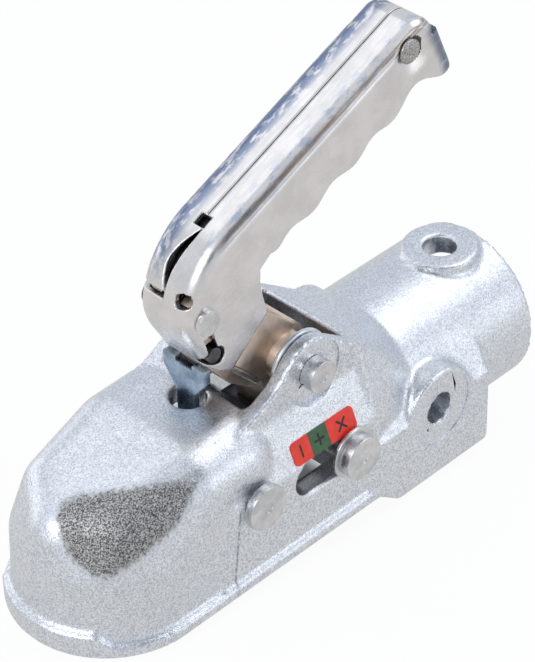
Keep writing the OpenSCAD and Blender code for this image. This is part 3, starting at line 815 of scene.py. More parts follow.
def surface_nets(values: np.ndarray, low: np.ndarray, step: float) -> tuple[np.ndarray, np.ndarray]:
    """Meshes the zero level of a sampled distance field.

    Args:
        values: samples on a regular grid.
        low: place of the first sample, in millimetres.
        step: distance between samples, in millimetres.

    Returns:
        Points in millimetres, and quads that face outwards.
    """
    inside = values < 0
    shape = np.array(values.shape) - 1
    corners = [(i, j, k) for i in (0, 1) for j in (0, 1) for k in (0, 1)]
    views = [inside[i:i + shape[0], j:j + shape[1], k:k + shape[2]] for i, j, k in corners]
    count = sum(v.astype(np.int8) for v in views)
    cells = np.argwhere((count > 0) & (count < 8))
    at = [values[cells[:, 0] + i, cells[:, 1] + j, cells[:, 2] + k] for i, j, k in corners]
    total = np.zeros((len(cells), 3))
    hits = np.zeros(len(cells))
    edges = [(a, b) for a in range(8) for b in range(a + 1, 8)
             if sum(abs(p - q) for p, q in zip(corners[a], corners[b])) == 1]
    for a, b in edges:
        crossing = (at[a] < 0) != (at[b] < 0)
        share = np.where(crossing, at[a] / np.where(crossing, at[a] - at[b], 1), 0)
        ends = np.array(corners[a]), np.array(corners[b])
        spot = ends[0] + share[:, None] * (ends[1] - ends[0])
        total += np.where(crossing[:, None], spot, 0)
        hits += crossing
    points = low + step * (cells + total / hits[:, None])
    number = np.full(shape, -1, np.int64)
    number[tuple(cells.T)] = np.arange(len(cells))
    quads = []
    for axis in range(3):
        u, v = (axis + 1) % 3, (axis + 2) % 3
        first = [slice(1, -1)] * 3
        first[axis] = slice(0, -1)
        second = [slice(1, -1)] * 3
        second[axis] = slice(1, None)
        a, b = inside[tuple(first)], inside[tuple(second)]
        for flip, mask in ((False, a & ~b), (True, ~a & b)):
            where = np.argwhere(mask)
            where += np.array([0 if d == axis else 1 for d in range(3)])
            step_u, step_v = np.eye(3, dtype=int)[u], np.eye(3, dtype=int)[v]
            ring = [where - step_u - step_v, where - step_v, where, where - step_u]
            ids = np.stack([number[tuple(r.T)] for r in ring], 1)
            quads.append(ids[:, ::-1] if flip else ids)
    return points, np.concatenate(quads)


def field_mesh(name: str, distance: Field, low: Sequence[float], high: Sequence[float],
               step: float) -> bpy.types.Mesh:
    """Meshes a distance field and lays its points and normals on the true surface.

    Args:
        name: name of the mesh.
        distance: the field, in millimetres.
        low: lowest corner of the sampled box.
        high: highest corner of the sampled box.
        step: distance between samples.

    Returns:
        A smooth mesh.
    """
    block = 4
    margin = 1.15
    largest_move = step * 0.45
    size = [int(np.ceil((b - a) / (step * block))) for a, b in zip(low, high)]
    start = np.array(low, float)
    middle = np.stack(np.meshgrid(*[np.arange(n) for n in size], indexing="ij"), -1)
    far_off = distance((start + (middle * block + (block - 1) / 2) * step).reshape(-1, 3))
    values = np.kron(far_off.reshape(size), np.ones((block,) * 3))
    near = np.argwhere(np.abs(values) < step * block * margin)
    values[tuple(near.T)] = distance(start + near * step)
    points, quads = surface_nets(values, start, step)
    for _ in range(2):
        slope, value = gradient(distance, points)
        size = np.sqrt(np.maximum((slope ** 2).sum(1), 0.25))
        move = np.clip(value / size, -largest_move, largest_move) / size
        points = points - move[:, None] * slope
    mesh = mesh_from(name, points, quads)
    mesh.polygons.foreach_set("use_smooth", [True] * len(mesh.polygons))
    normals = gradient(distance, mesh_arrays(mesh)[0].astype(float))[0]
    normals /= np.maximum(np.linalg.norm(normals, axis=1), 1e-9)[:, None]
    mesh.normals_split_custom_set_from_vertices(normals.tolist())
    return mesh


def gradient(distance: Field, points: np.ndarray,
             reach: float = 0.03) -> tuple[np.ndarray, np.ndarray]:
    """Slope and value of a field.

    Args:
        distance: the field.
        points: where to take them.
        reach: distance over which the slope is taken.

    Returns:
        The slopes, and the values.
    """
    value = distance(points)
    slope = np.stack([(distance(points + d) - value) / reach for d in np.eye(3) * reach], 1)
    return slope, value


def smooth_max(a: np.ndarray, b: np.ndarray, width: float) -> np.ndarray:
    """The larger of two fields with a rounded join."""
    share = np.maximum(width - np.abs(a - b), 0) / width
    return np.maximum(a, b) + share ** 2 * width / 4


def outline_distance(outline: np.ndarray, x: np.ndarray, z: np.ndarray) -> np.ndarray:
    """Signed distance of points from a closed outline.

    Args:
        outline: corners in X and Z.
        x: X of the points.
        z: Z of the points.

    Returns:
        The distances, negative inside.
    """
    best = np.full(x.shape, 1e9)
    inside = np.zeros(x.shape, bool)
    for (ax, az), (bx, bz) in zip(outline, np.roll(outline, -1, 0)):
        ex, ez = bx - ax, bz - az
        share = np.clip(((x - ax) * ex + (z - az) * ez) / (ex * ex + ez * ez), 0, 1)
        best = np.minimum(best, (x - ax - share * ex) ** 2 + (z - az - share * ez) ** 2)
        if az != bz:
            inside ^= ((az > z) != (bz > z)) & (x < (bx - ax) * (z - az) / (bz - az) + ax)
    return np.where(inside, -1, 1) * np.sqrt(best)


# Casting
@dataclass
class Casting:
    """The housing: the solid's own form with the soft corners and fillets of a casting."""

    voxel: float = 0.65
    fillet: float = 2.0
    corner: float = 0.7
    most_faces: int = 150000
    sharp_angle: float = 52.0
    slot_x: Pair = (63.5, 84.3)
    slot_z: float = 7.5
    slot_r: float = 6.85
    ear_y: float = 26.0
    ear_r: float = 13.0
    boss: Pair = (129.5, 0.0)
    boss_y: float = 36.8
    boss_r: float = 15.0
    pin_hole_r: float = 5.02
    bore_r: float = 25.3
    bore_front: float = 101.0
    bore_l: float = 200.0
    upright_x: float = 169.5
    bolt_r: float = 6.25
    bolt_l: float = 160.0
    tongue: Place = (40.0, 0.0, 50.0)
    tongue_r: float = 6.5
    beyond: float = 60.0
    face_l: float = 40.0

    def shifted(self, points: np.ndarray, faces: np.ndarray,
                amount: float) -> tuple[np.ndarray, np.ndarray]:
        """Grows or shrinks a closed mesh.

        Args:
            points: its points.
            faces: its triangles.
            amount: how far its surface moves outwards.

        Returns:
            Points and triangles of the moved surface.
        """
        grid = vdb.FloatGrid.createLevelSetFromPolygons(
            points.astype(np.float32), triangles=faces.astype(np.uint32),
            transform=vdb.createLinearTransform(self.voxel), halfWidth=abs(amount) / self.voxel + 3)
        found, quads = grid.convertToQuads(isovalue=amount)
        return found, np.concatenate([quads[:, [0, 1, 2]], quads[:, [0, 2, 3]]])

    def softened(self, points: np.ndarray, faces: np.ndarray) -> tuple[np.ndarray, np.ndarray]:
        """Fills inner corners with fillets, then rounds the outer ones.

        Args:
            points: points of the sharp solid.
            faces: its triangles.

        Returns:
            Points and triangles of the soft form.
        """
        for amount in (self.fillet, -self.fillet - self.corner, self.corner):
            points, faces = self.shifted(points, faces, amount)
        return points, faces

    def across(self, place: Pair, radius: float) -> bpy.types.Mesh:
        """A round cutter through the whole part, across it."""
        return cylinder_mesh((place[0], 0, place[1]), CROSSWISE, radius, 2 * self.beyond)

    def cutters(self) -> list[bpy.types.Mesh]:
        """The machined holes and faces that stay crisp.

        Returns:
            Closed meshes to cut away.
        """
        front, rear = self.slot_x
        slot = arc((front, self.slot_z), self.slot_r, 90, 270, 25)
        slot += arc((rear, self.slot_z), self.slot_r, -90, 90, 25)
        cuts = [prism_mesh(slot, -self.beyond, self.beyond)]
        for side in (-1, 1):
            for (x, z), face_y, radius in ((PIVOT, self.ear_y, self.ear_r),
                                           (self.boss, self.boss_y, self.boss_r)):
                middle = (x, side * (face_y + self.face_l / 2), z)
                cuts.append(cylinder_mesh(middle, CROSSWISE, radius, self.face_l))
        cuts += [self.across(PIVOT, self.pin_hole_r), self.across(JAW_PIN, self.pin_hole_r)]
        bore_middle = (self.bore_front + self.bore_l / 2, 0, 0)
        cuts.append(cylinder_mesh(bore_middle, LENGTHWISE, self.bore_r, self.bore_l, 128))
        cuts.append(cylinder_mesh((self.upright_x, 0, 0), UPRIGHT, self.bolt_r, self.bolt_l))
        cuts.append(cylinder_mesh((self.boss[0], 0, 0), CROSSWISE, self.bolt_r, self.bolt_l))
        cuts.append(cylinder_mesh(self.tongue, UPRIGHT, self.tongue_r, self.beyond))
        return cuts

    def build(self, node: bpy.types.Object) -> bpy.types.Object:
        """Makes the softened casting in place of the CAD node.

        Args:
            node: the CAD housing.

        Returns:
            The finished piece.
        """
        points, faces = self.softened(*mesh_arrays(merged_copy(node, "housing_sharp")))
        low, high = (np.array(c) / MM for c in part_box("housing"))
        mesh = mesh_from("housing_casting", np.clip(points, low, high), faces)
        piece = new_object("housing_casting", mesh)
        if len(mesh.polygons) > self.most_faces:
            thin = piece.modifiers.new("thin", "DECIMATE")
            thin.ratio = self.most_faces / len(mesh.polygons)
            baked(piece)
        subtract(piece, self.cutters())
        shade(piece.data, self.sharp_angle)
        return finished(piece, CAST_ZINC, "housing", "cast_zinc", "housing")


# Handle
@dataclass
class FoldedHandle:
    """The handle folded from one sheet, as a distance field about its bent centre line."""

    step: float = 0.54
    top: Pair = GRIP_TOP
    rise: float = GRIP_RISE
    bend: float = 37.0
    half: float = 13.0
    fold: float = 5.5
    sheet: float = 2.5
    length: float = 104.3
    nose: float = 9.0
    edge: float = 0.9
    dish: Pair = (139.7, 137.0)
    dish_r: float = 16.0
    dish_depth: float = 2.6
    rivet: Pair = (37.9, 78.7)
    rivet_hole_r: float = 3.5
    key: Pair = (42.2, 61.4)
    key_r: float = 3.9
    pocket_r: float = 3.6
    pocket_y: float = 10.4
    web_thinner: float = 1.3
    web_top: float = 67.0
    web_back: float = 45.0
    bent_back: tuple[Pair, Pair] = ((32.3, 69.6), (-0.871, -0.492))
    slit_z: float = 84.4
    slit_h: float = 2.4
    slit_y: float = 0.9
    notch: Pair = (-2.2, 2.3)
    gap_depth: float = 5.0
    slit_depth: float = 4.6
    relief_depth: float = 7.5
    groove_slope: float = 0.75
    groove_depth: float = 0.3
    shaded_inside_depth: float = 1.7
    lens: tuple[Pair, ...] = (
        (1.1, 0), (0.6, 9), (-0.4, 14.3), (-1.7, 19), (-2.1, 21.4), (-0.8, 20.1), (1.8, 16.8),
        (3.4, 13.2), (3.7, 10.6), (2.9, 7), (1.5, 3))
    relief: tuple[Pair, ...] = (
        (-4.2, 3.7), (-7.1, 5.2), (-9.9, 5.1), (-10.9, 3.4), (-10.8, 1.8), (-10.2, 0.8),
        (-8.3, -0.1), (-5.6, -0.6), (-4.5, 1.1))
    outline: np.ndarray = field(init=False)

    def __post_init__(self) -> None:
        """Works out the side outline."""
        self.sin, self.cos = (f(math.radians(self.rise)) for f in (math.sin, math.cos))
        self.centre = (self.top[0] + self.bend * self.sin, self.top[1] - self.bend * self.cos)
        self.front = self.centre[0] - self.bend
        s = np.arange(8, 88.5, 0.75)
        wave = -24.2 - 1.4 * np.cos(np.radians(360 * (s - 52) / 22))
        wave += 2.2 * np.maximum(0, (s - 70) / 20)
        wave = np.where(s < 14, wave + (14 - s) ** 2 * 0.06, wave)
        low = np.array([[self.front - 5, 78], [self.front - 5, 60], [36.8, 57], [40.4, 55.8],
                        [48.5, 51.3], [60.6, 38.4], [62, 40.4], [50.5, 52.4], [66.8, 66.3],
                        [65.4, 72.5], [63.8, 80], [64.2, 86]])
        tip = self.along([(90, -22.2), (92, -23.6), (94, -25.4), (96, -27.3), (98, -28.8), (100, -29.4),
                          (102.4, -29.0), (103.6, -28.0), (104.4, -25), (104.4, -20), (104.4, -8),
                          (103.6, -5), (101.8, -2.8), (99.5, -1), (96, 0.6), (90, 2), (0, 2)])
        waves = self.along(list(zip(s, wave)))
        self.outline = np.concatenate([low, waves, tip, [[self.front - 5, self.top[1]]]])

    def along(self, places: Sequence[Pair]) -> np.ndarray:
        """Turns places along and above the grip into points.

        Args:
            places: distance along the grip, and height above its top line.

        Returns:
            The points in X and Z.
        """
        s, n = np.array(places, float).T
        return np.stack([self.top[0] + s * self.cos - n * self.sin,
                         self.top[1] + s * self.sin + n * self.cos], 1)

    def above(self, x: np.ndarray, z: np.ndarray) -> tuple[np.ndarray, np.ndarray]:
        """Where points lie from the bent top line.

        Args:
            x: X of the points.
            z: Z of the points.

        Returns:
            Their height above the line, and their place along the grip.
        """
        vx, vz = x - self.centre[0], z - self.centre[1]
        s = vx * self.cos + vz * self.sin
        grip = -vx * self.sin + vz * self.cos - self.bend
        turn = np.hypot(vx, vz) - self.bend
        top = np.where(s >= 0, grip, np.where(vz <= 0, self.front - x, turn))
        (under_x, under_z), (normal_x, normal_z) = self.bent_back
        under = normal_x * (x - under_x) + normal_z * (z - under_z)
        end = np.hypot(s - self.length + self.nose, grip + self.nose) - self.nose
        top = np.where(s > self.length - self.nose, np.where(grip > -self.nose, end, grip), top)
        return smooth_max(top, under, 3.5), s

    def block(self, y: np.ndarray, top: np.ndarray, s: np.ndarray) -> np.ndarray:
        """Distance from the handle's outer form, as if it were solid.

        Args:
            y: Y of the points.
            top: their height above the top line.
            s: their place along the grip.

        Returns:
            The distances, negative inside.
        """
        r = self.fold
        q = np.stack([np.abs(y) - (self.half - r), top + r])
        section = np.sqrt((np.maximum(q, 0) ** 2).sum(0)) + np.minimum(q.max(0), 0) - r
        return smooth_max(section, s - self.length, 3.0)

    def distance(self, p: np.ndarray) -> np.ndarray:
        """Distance from the finished sheet.

        Args:
            p: points in millimetres.

        Returns:
            The distances, negative in the metal.
        """
        x, y, z = p.T
        top, s = self.above(x, z)
        solid = self.block(y, top, s)
        far_dish = np.sqrt((x - self.dish[0]) ** 2 + (z - self.dish[1]) ** 2
                           + (np.abs(y) - self.half - self.dish_r + self.dish_depth) ** 2)
        outer = smooth_max(solid, self.dish_r - far_dish, 1.3)
        thin = self.web_thinner * np.clip((self.web_top - z) / 3, 0, 1) * (x < self.web_back)
        inner = smooth_max(solid + self.sheet - thin, self.dish_r + self.sheet - far_dish, 1.6)
        pocket = np.maximum(np.hypot(x - self.key[0] + 0.8, z - self.key[1]) - self.pocket_r,
                            np.abs(y) - self.pocket_y)
        body = smooth_max(smooth_max(outer, -inner, self.edge), -pocket, 0.3)
        body = smooth_max(body, outline_distance(self.outline, x, z), self.edge)
        return self.pierced(body, x, y, z, top, s)

    def pierced(self, body: np.ndarray, x: np.ndarray, y: np.ndarray, z: np.ndarray,
                top: np.ndarray, s: np.ndarray) -> np.ndarray:
        """Cuts seam, relief holes, slit and keyhole into the sheet.

        Args:
            body: distances from the uncut sheet.
            x: X of the points.
            y: Y of the points.
            z: Z of the points.
            top: their height above the top line.
            s: their place along the grip.

        Returns:
            The distances from the cut sheet.
        """
        kx, kz = self.key
        hole = np.hypot(x - kx, z - kz) - self.key_r
        neck = outline_distance(np.array([[kx - 2, kz], [kx + 1.5, kz + 1], [kx - 1.2, kz + 10.3],
                                          [kx - 4.9, kz + 9.2]]), x, z) - 0.2
        rivet = np.hypot(x - self.rivet[0], z - self.rivet[1]) - self.rivet_hole_r
        lens = outline_distance(np.array(self.lens), y, z - self.slit_z)
        gap = np.maximum(lens, -(top + self.gap_depth))
        place, half = self.notch
        square = np.maximum(np.abs(y) - half, np.maximum(np.abs(s - place) - half, -(top + self.gap_depth)))
        slit = np.maximum(np.maximum(self.slit_z - z, z - self.slit_z - self.slit_h), self.slit_y - y)
        slit = np.maximum(slit, -(top + self.slit_depth))
        relief = outline_distance(np.array(self.relief), y, z - self.slit_z)
        relief = np.maximum(relief, -(top + self.relief_depth))
        cuts = np.minimum.reduce([hole, neck, rivet, gap, square, slit, relief])
        groove = np.where(s > 0, top - self.groove_slope * np.abs(y) + self.groove_depth, -9)
        return smooth_max(smooth_max(body, -cuts, 0.5), groove, 0.5)

    def build(self) -> bpy.types.Object:
        """Makes the shell in place of the CAD node.

        Returns:
            The finished piece.
        """
        low, high = (np.array(c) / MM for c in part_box("handle_shell"))
        mesh = field_mesh("handle_folded", self.distance, low - 1.2, high + 1.2, self.step)
        piece = new_object("handle_folded", mesh)
        piece.data.materials.append(material_of(PLATED_SHEET))
        piece.data.materials.append(material_of(INNER_SHADE_AND_GREASE))
        centres = np.zeros(len(mesh.polygons) * 3, np.float32)
        mesh.polygons.foreach_get("center", centres)
        x, y, z = centres.reshape(-1, 3).T / MM
        # faces deep inside the fold get the painted shade and grease finish
        inner = self.block(y, *self.above(x, z)) < -self.shaded_inside_depth
        mesh.polygons.foreach_set("material_index", inner.astype(np.int32))
        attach(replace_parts(piece, "handle_shell"), "handle")
        return piece


# Small pieces
@dataclass(frozen=True)
class Dressing:
    """How one CAD node is finished: its edge rounding and its finish."""

    node: str
    body: str
    finish: Finish
    slot: str
    edge: float


DRESSINGS: tuple[Dressing, ...] = (
    Dressing("ball_jaw", "jaw", JAW_ZINC, "jaw_steel", 0.8),
    Dressing("jaw_pin", "housing", PIN_STEEL, "plated_pin", 0.8),
    Dressing("jaw_pin_clip", "housing", DARK_STEEL, "spring_steel", 0.15),
    Dressing("sensor_lever", "sensor", TONGUE_ZINC, "tongue_zinc", 0.45),
    Dressing("inner_lever", "handle", BRONZE_SHEET, "bronze_steel", 0.5),
    Dressing("pivot_pin", "housing", PIN_STEEL, "plated_pin", 0.7),
    Dressing("pivot_pin_clip", "housing", DARK_STEEL, "spring_steel", 0.15),
    Dressing("pivot_bushes", "handle", BUSH_METAL, "bush", 0.2),
    Dressing("handle_rivet", "handle", PIN_STEEL, "plated_pin", 0.7),
    Dressing("grip_rivet", "handle", WORN_HEAD, "plated_pin", 0.6),
    Dressing("grip_spacer", "handle", DARK_STEEL, "dark_steel", 0.2),
    Dressing("catch_lever", "catch", CATCH_STEEL_SHADE, "catch_steel", 0.3),
    Dressing("catch_pin", "catch", DARK_STEEL, "dark_steel", 0.3),
    Dressing("indicator_pin", "indicator", PIN_STEEL, "plated_pin", 0.9),
    Dressing("near_washer", "indicator", PIN_STEEL, "plated_pin", 0.3),
    Dressing("far_washer", "indicator", PIN_STEEL, "plated_pin", 0.3),
    Dressing("indicator_clip", "indicator", DARK_STEEL, "spring_steel", 0.15),
    Dressing("thrust_block", "indicator", DARK_STEEL, "dark_steel", 0.5),
)

# What is cut off four nodes so that they stay inside the folded sheet: outline in X and Z, and reach in Y
TRIMS: dict[str, tuple[list[Pair], float, float]] = {
    "inner_lever": ([(20, 56), (20, 75), (33.0, 75), (33.2, 73.5), (35.4, 69.8), (36.2, 67), (38.6, 61.4),
                     (41.7, 56)], -30, 30),
    "catch_lever": ([(20, 50), (20, 75), (33.0, 75), (34.2, 73.5), (36.8, 69.8), (38.4, 67), (41.2, 61.4),
                     (44.2, 56), (47.5, 50)], -30, 30),
    "handle_rivet": ([(30, 70), (46, 70), (46, 88), (30, 88)], 13.1, 30),
    "grip_rivet": ([(125, 125), (150, 125), (150, 150), (125, 150)], 11.0, 30),
}


@dataclass
class SmallParts:
    """Finishes the pins, levers, washers and clips from their solids."""

    nodes: dict[str, bpy.types.Object]
    flat_angle: float = 0.5
    edge_angle: float = 35.0

    def dress(self, plan: Dressing) -> bpy.types.Object:
        """Rounds the edges of one node's copy and gives it its finish.

        Args:
            plan: what to do with the node.

        Returns:
            The finished piece.
        """
        mesh = merged_copy(self.nodes[plan.node], plan.node + "_piece")
        shape = bmesh.new()
        shape.from_mesh(mesh)
        bmesh.ops.dissolve_limit(shape, angle_limit=math.radians(self.flat_angle), verts=shape.verts,
                                 edges=shape.edges)
        shape.to_mesh(mesh)
        shape.free()
        piece = new_object(plan.node + "_piece", mesh)
        if plan.node in TRIMS:
            subtract(piece, [prism_mesh(*TRIMS[plan.node])])
        bevelled(piece, plan.edge, self.edge_angle)
        return finished(piece, plan.finish, plan.body, plan.slot, plan.node)

    def build(self) -> list[bpy.types.Object]:
        """Finishes every small piece."""
        return [self.dress(plan) for plan in DRESSINGS]


@dataclass
class LeverFlanks:
    """The inner lever's raised flanks, nearly flush with the handle's cheeks, and its hub flanges."""

    pad: tuple[Pair, ...] = ((50.7, 52.4), (66.9, 66.2), (80.1, 54.3), (63.6, 38.9))
    pad_y: Pair = (10.3, 12.7)
    pad_edge: float = 0.5
    hub_r: float = 13.2
    hub_y: Pair = (18.4, 20.4)
    hub_edge: float = 0.6
    edge_angle: float = 40.0

    def build(self) -> list[bpy.types.Object]:
        """Makes both flanks and both flanges.

        Returns:
            The four pieces.
        """
        pieces = []
        inner, outer = self.hub_y
        for side, word in ((-1, "near"), (1, "far")):
            flank = prism_mesh(list(self.pad), *sorted(side * y for y in self.pad_y))
            centre = (PIVOT[0], side * (inner + outer) / 2, PIVOT[1])
            flange = cylinder_mesh(centre, CROSSWISE, self.hub_r, outer - inner)
            for name, mesh, edge, finish in (("lever_flank_", flank, self.pad_edge, BRONZE_SHEET),
                                             ("lever_flange_", flange, self.hub_edge, FLANGE_ZINC)):
                piece = bevelled(new_object(name + word, mesh), edge, self.edge_angle)
                pieces.append(finished(piece, finish, "handle", "bronze_steel"))
        return pieces


# Springs
@dataclass(frozen=True)
class Spring:
    """A wire coil that a node tree draws along a line."""

    node: str
    body: str
    start: Place
    axis: Place
    radius: float
    wire: float
    turns: float
    length: float


SPRINGS: tuple[Spring, ...] = (
    Spring("pressure_spring", "indicator", (71.31, 0, -14), LENGTHWISE, 4.5, 1.8, 6.0, 23.67),
    Spring("catch_spring", "handle", (46.3, 0, 68), LENGTHWISE, 2.6, 0.9, 5.0, 7.6),
    Spring("sensor_spring", "housing", (JAW_PIN[0], 4.3, JAW_PIN[1]), CROSSWISE, 6.1, 1.2, 2.0, 2.5),
)


class Springs:
    """Draws the coil springs with one node tree."""

    def __init__(self) -> None:
        """Builds the tree, with its sizes and its finish as inputs."""
        self.tree = bpy.data.node_groups.new("coil_spring", "GeometryNodeTree")
        kinds = dict.fromkeys(("Radius", "Wire", "Turns", "Length"), "NodeSocketFloat")
        kinds["Finish"] = "NodeSocketMaterial"
        face = self.tree.interface
        self.inputs = {key: face.new_socket(key, in_out="INPUT", socket_type=kind).identifier
                       for key, kind in kinds.items()}
        face.new_socket("Geometry", in_out="OUTPUT", socket_type="NodeSocketGeometry")
        wiring = Wiring(self.tree)
        given = wiring.outputs("NodeGroupInput")
        coil = wiring.node("GeometryNodeCurveSpiral", {
            "Resolution": 40, "Start Radius": given["Radius"], "End Radius": given["Radius"],
            "Rotations": given["Turns"], "Height": given["Length"]})
        ring = wiring.node("GeometryNodeCurvePrimitiveCircle", {"Resolution": 14,
                                                                "Radius": given["Wire"]})
        wire = wiring.node("GeometryNodeCurveToMesh", {"Curve": coil, "Profile Curve": ring,
                                                       "Fill Caps": True})
        smooth = wiring.node("GeometryNodeSetShadeSmooth", {"Geometry": wire})
        real = wiring.node("GeometryNodeRealizeInstances", {"Geometry": smooth})
        dressed = wiring.node("GeometryNodeSetMaterial", {"Geometry": real, "Material": given["Finish"]})
        wiring.add("NodeGroupOutput", {"Geometry": dressed})

    def draw(self, spring: Spring) -> bpy.types.Object:
        """Draws one spring and puts it in place.

        Args:
            spring: its sizes.

        Returns:
            The finished piece.
        """
        piece = new_object(spring.node + "_piece", bpy.data.meshes.new(spring.node))
        modifier = piece.modifiers.new("coil", "NODES")
        modifier.node_group = self.tree
        values = {"Radius": spring.radius * MM, "Wire": spring.wire / 2 * MM, "Turns": spring.turns,
                  "Length": (spring.length - spring.wire) * MM, "Finish": material_of(DARK_STEEL)}
        for key, value in values.items():
            modifier[self.inputs[key]] = value
        baked(piece)
        turn = Vector(UPRIGHT).rotation_difference(Vector(spring.axis)).to_matrix().to_4x4()
        lift = Matrix.Translation((0, 0, spring.wire / 2 * MM))
        piece.data.transform(Matrix.Translation(Vector(spring.start) * MM) @ turn @ lift)
        return finished(piece, DARK_STEEL, spring.body, "spring_steel", spring.node)

    def build(self) -> list[bpy.types.Object]:
        """Draws every spring."""
        return [self.draw(spring) for spring in SPRINGS]


# Label
@dataclass
class ZoneLabel:
    """The label of three zones with its plain signs, on the leaning panel."""

    start: float = 56.9
    end: float = 87.9
    zones: Pair = (65.6, 74.6)
    panel_y: float = 35.5
    panel_z: float = 14.0
    lean: float = 23.36
    rise: float = 1.8
    height: float = 9.0
    corner: float = 2.0
    back: float = 0.01
    thick: float = 0.3
    sign_l: float = 4.8
    cross_l: float = 6.0
    sign_w: float = 0.8
    sign_sunk: float = 0.05
    sign_proud: float = 0.03
    sign_step: float = 0.01

    def place(self, u: float, v: float, w: float) -> Place:
        """A point on the panel.

        Args:
            u: distance along the part.
            v: distance up the panel.
            w: distance out of it.

        Returns:
            The point in millimetres.
        """
        sin, cos = math.sin(math.radians(self.lean)), math.cos(math.radians(self.lean))
        up = self.rise + v
        return (u, -self.panel_y + up * sin - w * cos, self.panel_z + up * cos + w * sin)

    def tile(self, name: str, outline: Sequence[Pair], low: float, high: float,
             finish: Finish) -> bpy.types.Object:
        """One thin closed tile of the label.

        Args:
            name: name of the piece.
            outline: its outline on the panel, anticlockwise.
            low: height of its back.
            high: height of its face.
            finish: its finish.

        Returns:
            The piece.
        """
        count = len(outline)
        points = [self.place(u, v, w) for w in (low, high) for u, v in outline]
        faces = [list(range(count))[::-1], list(range(count, 2 * count))]
        faces += [[i, (i + 1) % count, (i + 1) % count + count, i + count] for i in range(count)]
        return finished(new_object(name, mesh_from(name, np.array(points), faces)), finish, "housing",
                        "label")

    def zone(self, u0: float, u1: float, left: float, right: float) -> list[Pair]:
        """A zone's outline.

        Args:
            u0: its left end.
            u1: its right end.
            left: radius of its left corners.
            right: radius of its right corners.

        Returns:
            The outline, anticlockwise.
        """
        top, points = self.height, []
        for u, v, r, turn in ((u1 - right, right, right, -90), (u1 - right, top - right, right, 0),
                              (u0 + left, top - left, left, 90), (u0 + left, left, left, 180)):
            points += arc((u, v), r, turn, turn + 90, 7 if r else 1)
        return points

    def bar(self, u: float, angle: float, length: float) -> list[Pair]:
        """A straight stroke of a sign.

        Args:
            u: place of its middle along the label.
            angle: its lean in degrees.
            length: its length.

        Returns:
            Its four corners.
        """
        c, s = math.cos(math.radians(angle)), math.sin(math.radians(angle))
        half_l, half_w = length / 2, self.sign_w / 2
        return [(u + a * c - b * s, self.height / 2 + a * s + b * c)
                for a, b in ((-half_l, -half_w), (half_l, -half_w), (half_l, half_w), (-half_l, half_w))]

    def build(self) -> list[bpy.types.Object]:
        """Makes the zones and the signs.

        Returns:
            The pieces.
        """
        a, b = self.zones
        zones = (("minus", self.start, a, self.corner, 0, PRINT_RED, (90,), self.sign_l),
                 ("plus", a, b, 0, 0, PRINT_GREEN, (0, 90), self.sign_l),
                 ("cross", b, self.end, 0, self.corner, PRINT_RED, (45, 135), self.cross_l))
        pieces = [self.tile("label_zone_" + word, self.zone(u0, u1, left, right), self.back, self.thick,
                            finish)
                  for word, u0, u1, left, right, finish, _, _ in zones]
        for word, u0, u1, *_, angles, length in zones:
            for i, angle in enumerate(angles):
                low = self.thick - self.sign_sunk * i
                high = self.thick + self.sign_proud + self.sign_step * i
                outline = self.bar((u0 + u1) / 2, angle, length)
                pieces.append(self.tile(f"sign_{word}_{i}", outline, low, high, PRINT_BLACK))
        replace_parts(pieces[0], "indicator_label")
        return pieces


# Studio
@dataclass(frozen=True)
class Lamp:
    """One soft box: its place and size in metres, and its power in watts."""

    name: str
    place: Place
    size: Pair
    power: float
    colour: Colour = (1, 1, 1)


@dataclass(frozen=True)
class Card:
    """One card that stands out of view: its place, aim and size in metres, and its grey."""

    name: str
    place: Place
    aim: Place
    size: Pair
    grey: float


MIDDLE = (0.08, 0, 0.04)
LAMPS = (
    Lamp("front_lamp", (-0.95, -0.05, 0.85), (0.8, 0.7), 4.2, (1.0, 0.99, 0.98)),
    Lamp("back_lamp", (-0.15, 1.1, 0.15), (1.0, 0.6), 1.3),
    Lamp("rear_lamp", (0.8, -0.25, 1.1), (1.0, 0.8), 3.4, (0.97, 0.98, 1.0)),
    Lamp("top_lamp", (0.0, 0.75, 1.2), (0.9, 0.5), 0.9),
    Lamp("side_lamp", (0.7, -1.15, 0.3), (0.8, 0.6), 1.2, (0.97, 0.98, 1.0)),
)
CARDS = (
    Card("rear_card", (-0.64, -0.75, 0.86), MIDDLE, (0.5, 0.5), 0.06),
    Card("side_card", (0.033, -0.282, 0.386), (0.0, -0.03, 0.03), (0.16, 0.28), 0.10),
)


def aimed(name: str, data: bpy.types.ID, place: Place, aim: Place) -> bpy.types.Object:
    """Stands a lamp or card at a place, turned towards an aim.

    Args:
        name: name of the object.
        data: its lamp or mesh.
        place: where it stands.
        aim: what it looks at.

    Returns:
        The object.
    """
    item = new_object(name, data)
    item.location = Vector(place)
    item.rotation_euler = (Vector(aim) - Vector(place)).to_track_quat("-Z", "Y").to_euler()
    return item


def quad_mesh(name: str, corners: Sequence[Sequence[float]]) -> bpy.types.Mesh:
    """A mesh of one four-sided face.

    Args:
        name: name of the mesh.
        corners: its corners, in metres.

    Returns:
        The mesh.
    """
    mesh = bpy.data.meshes.new(name)
    mesh.from_pydata([tuple(c) for c in corners], [], [(0, 1, 2, 3)])
    return mesh


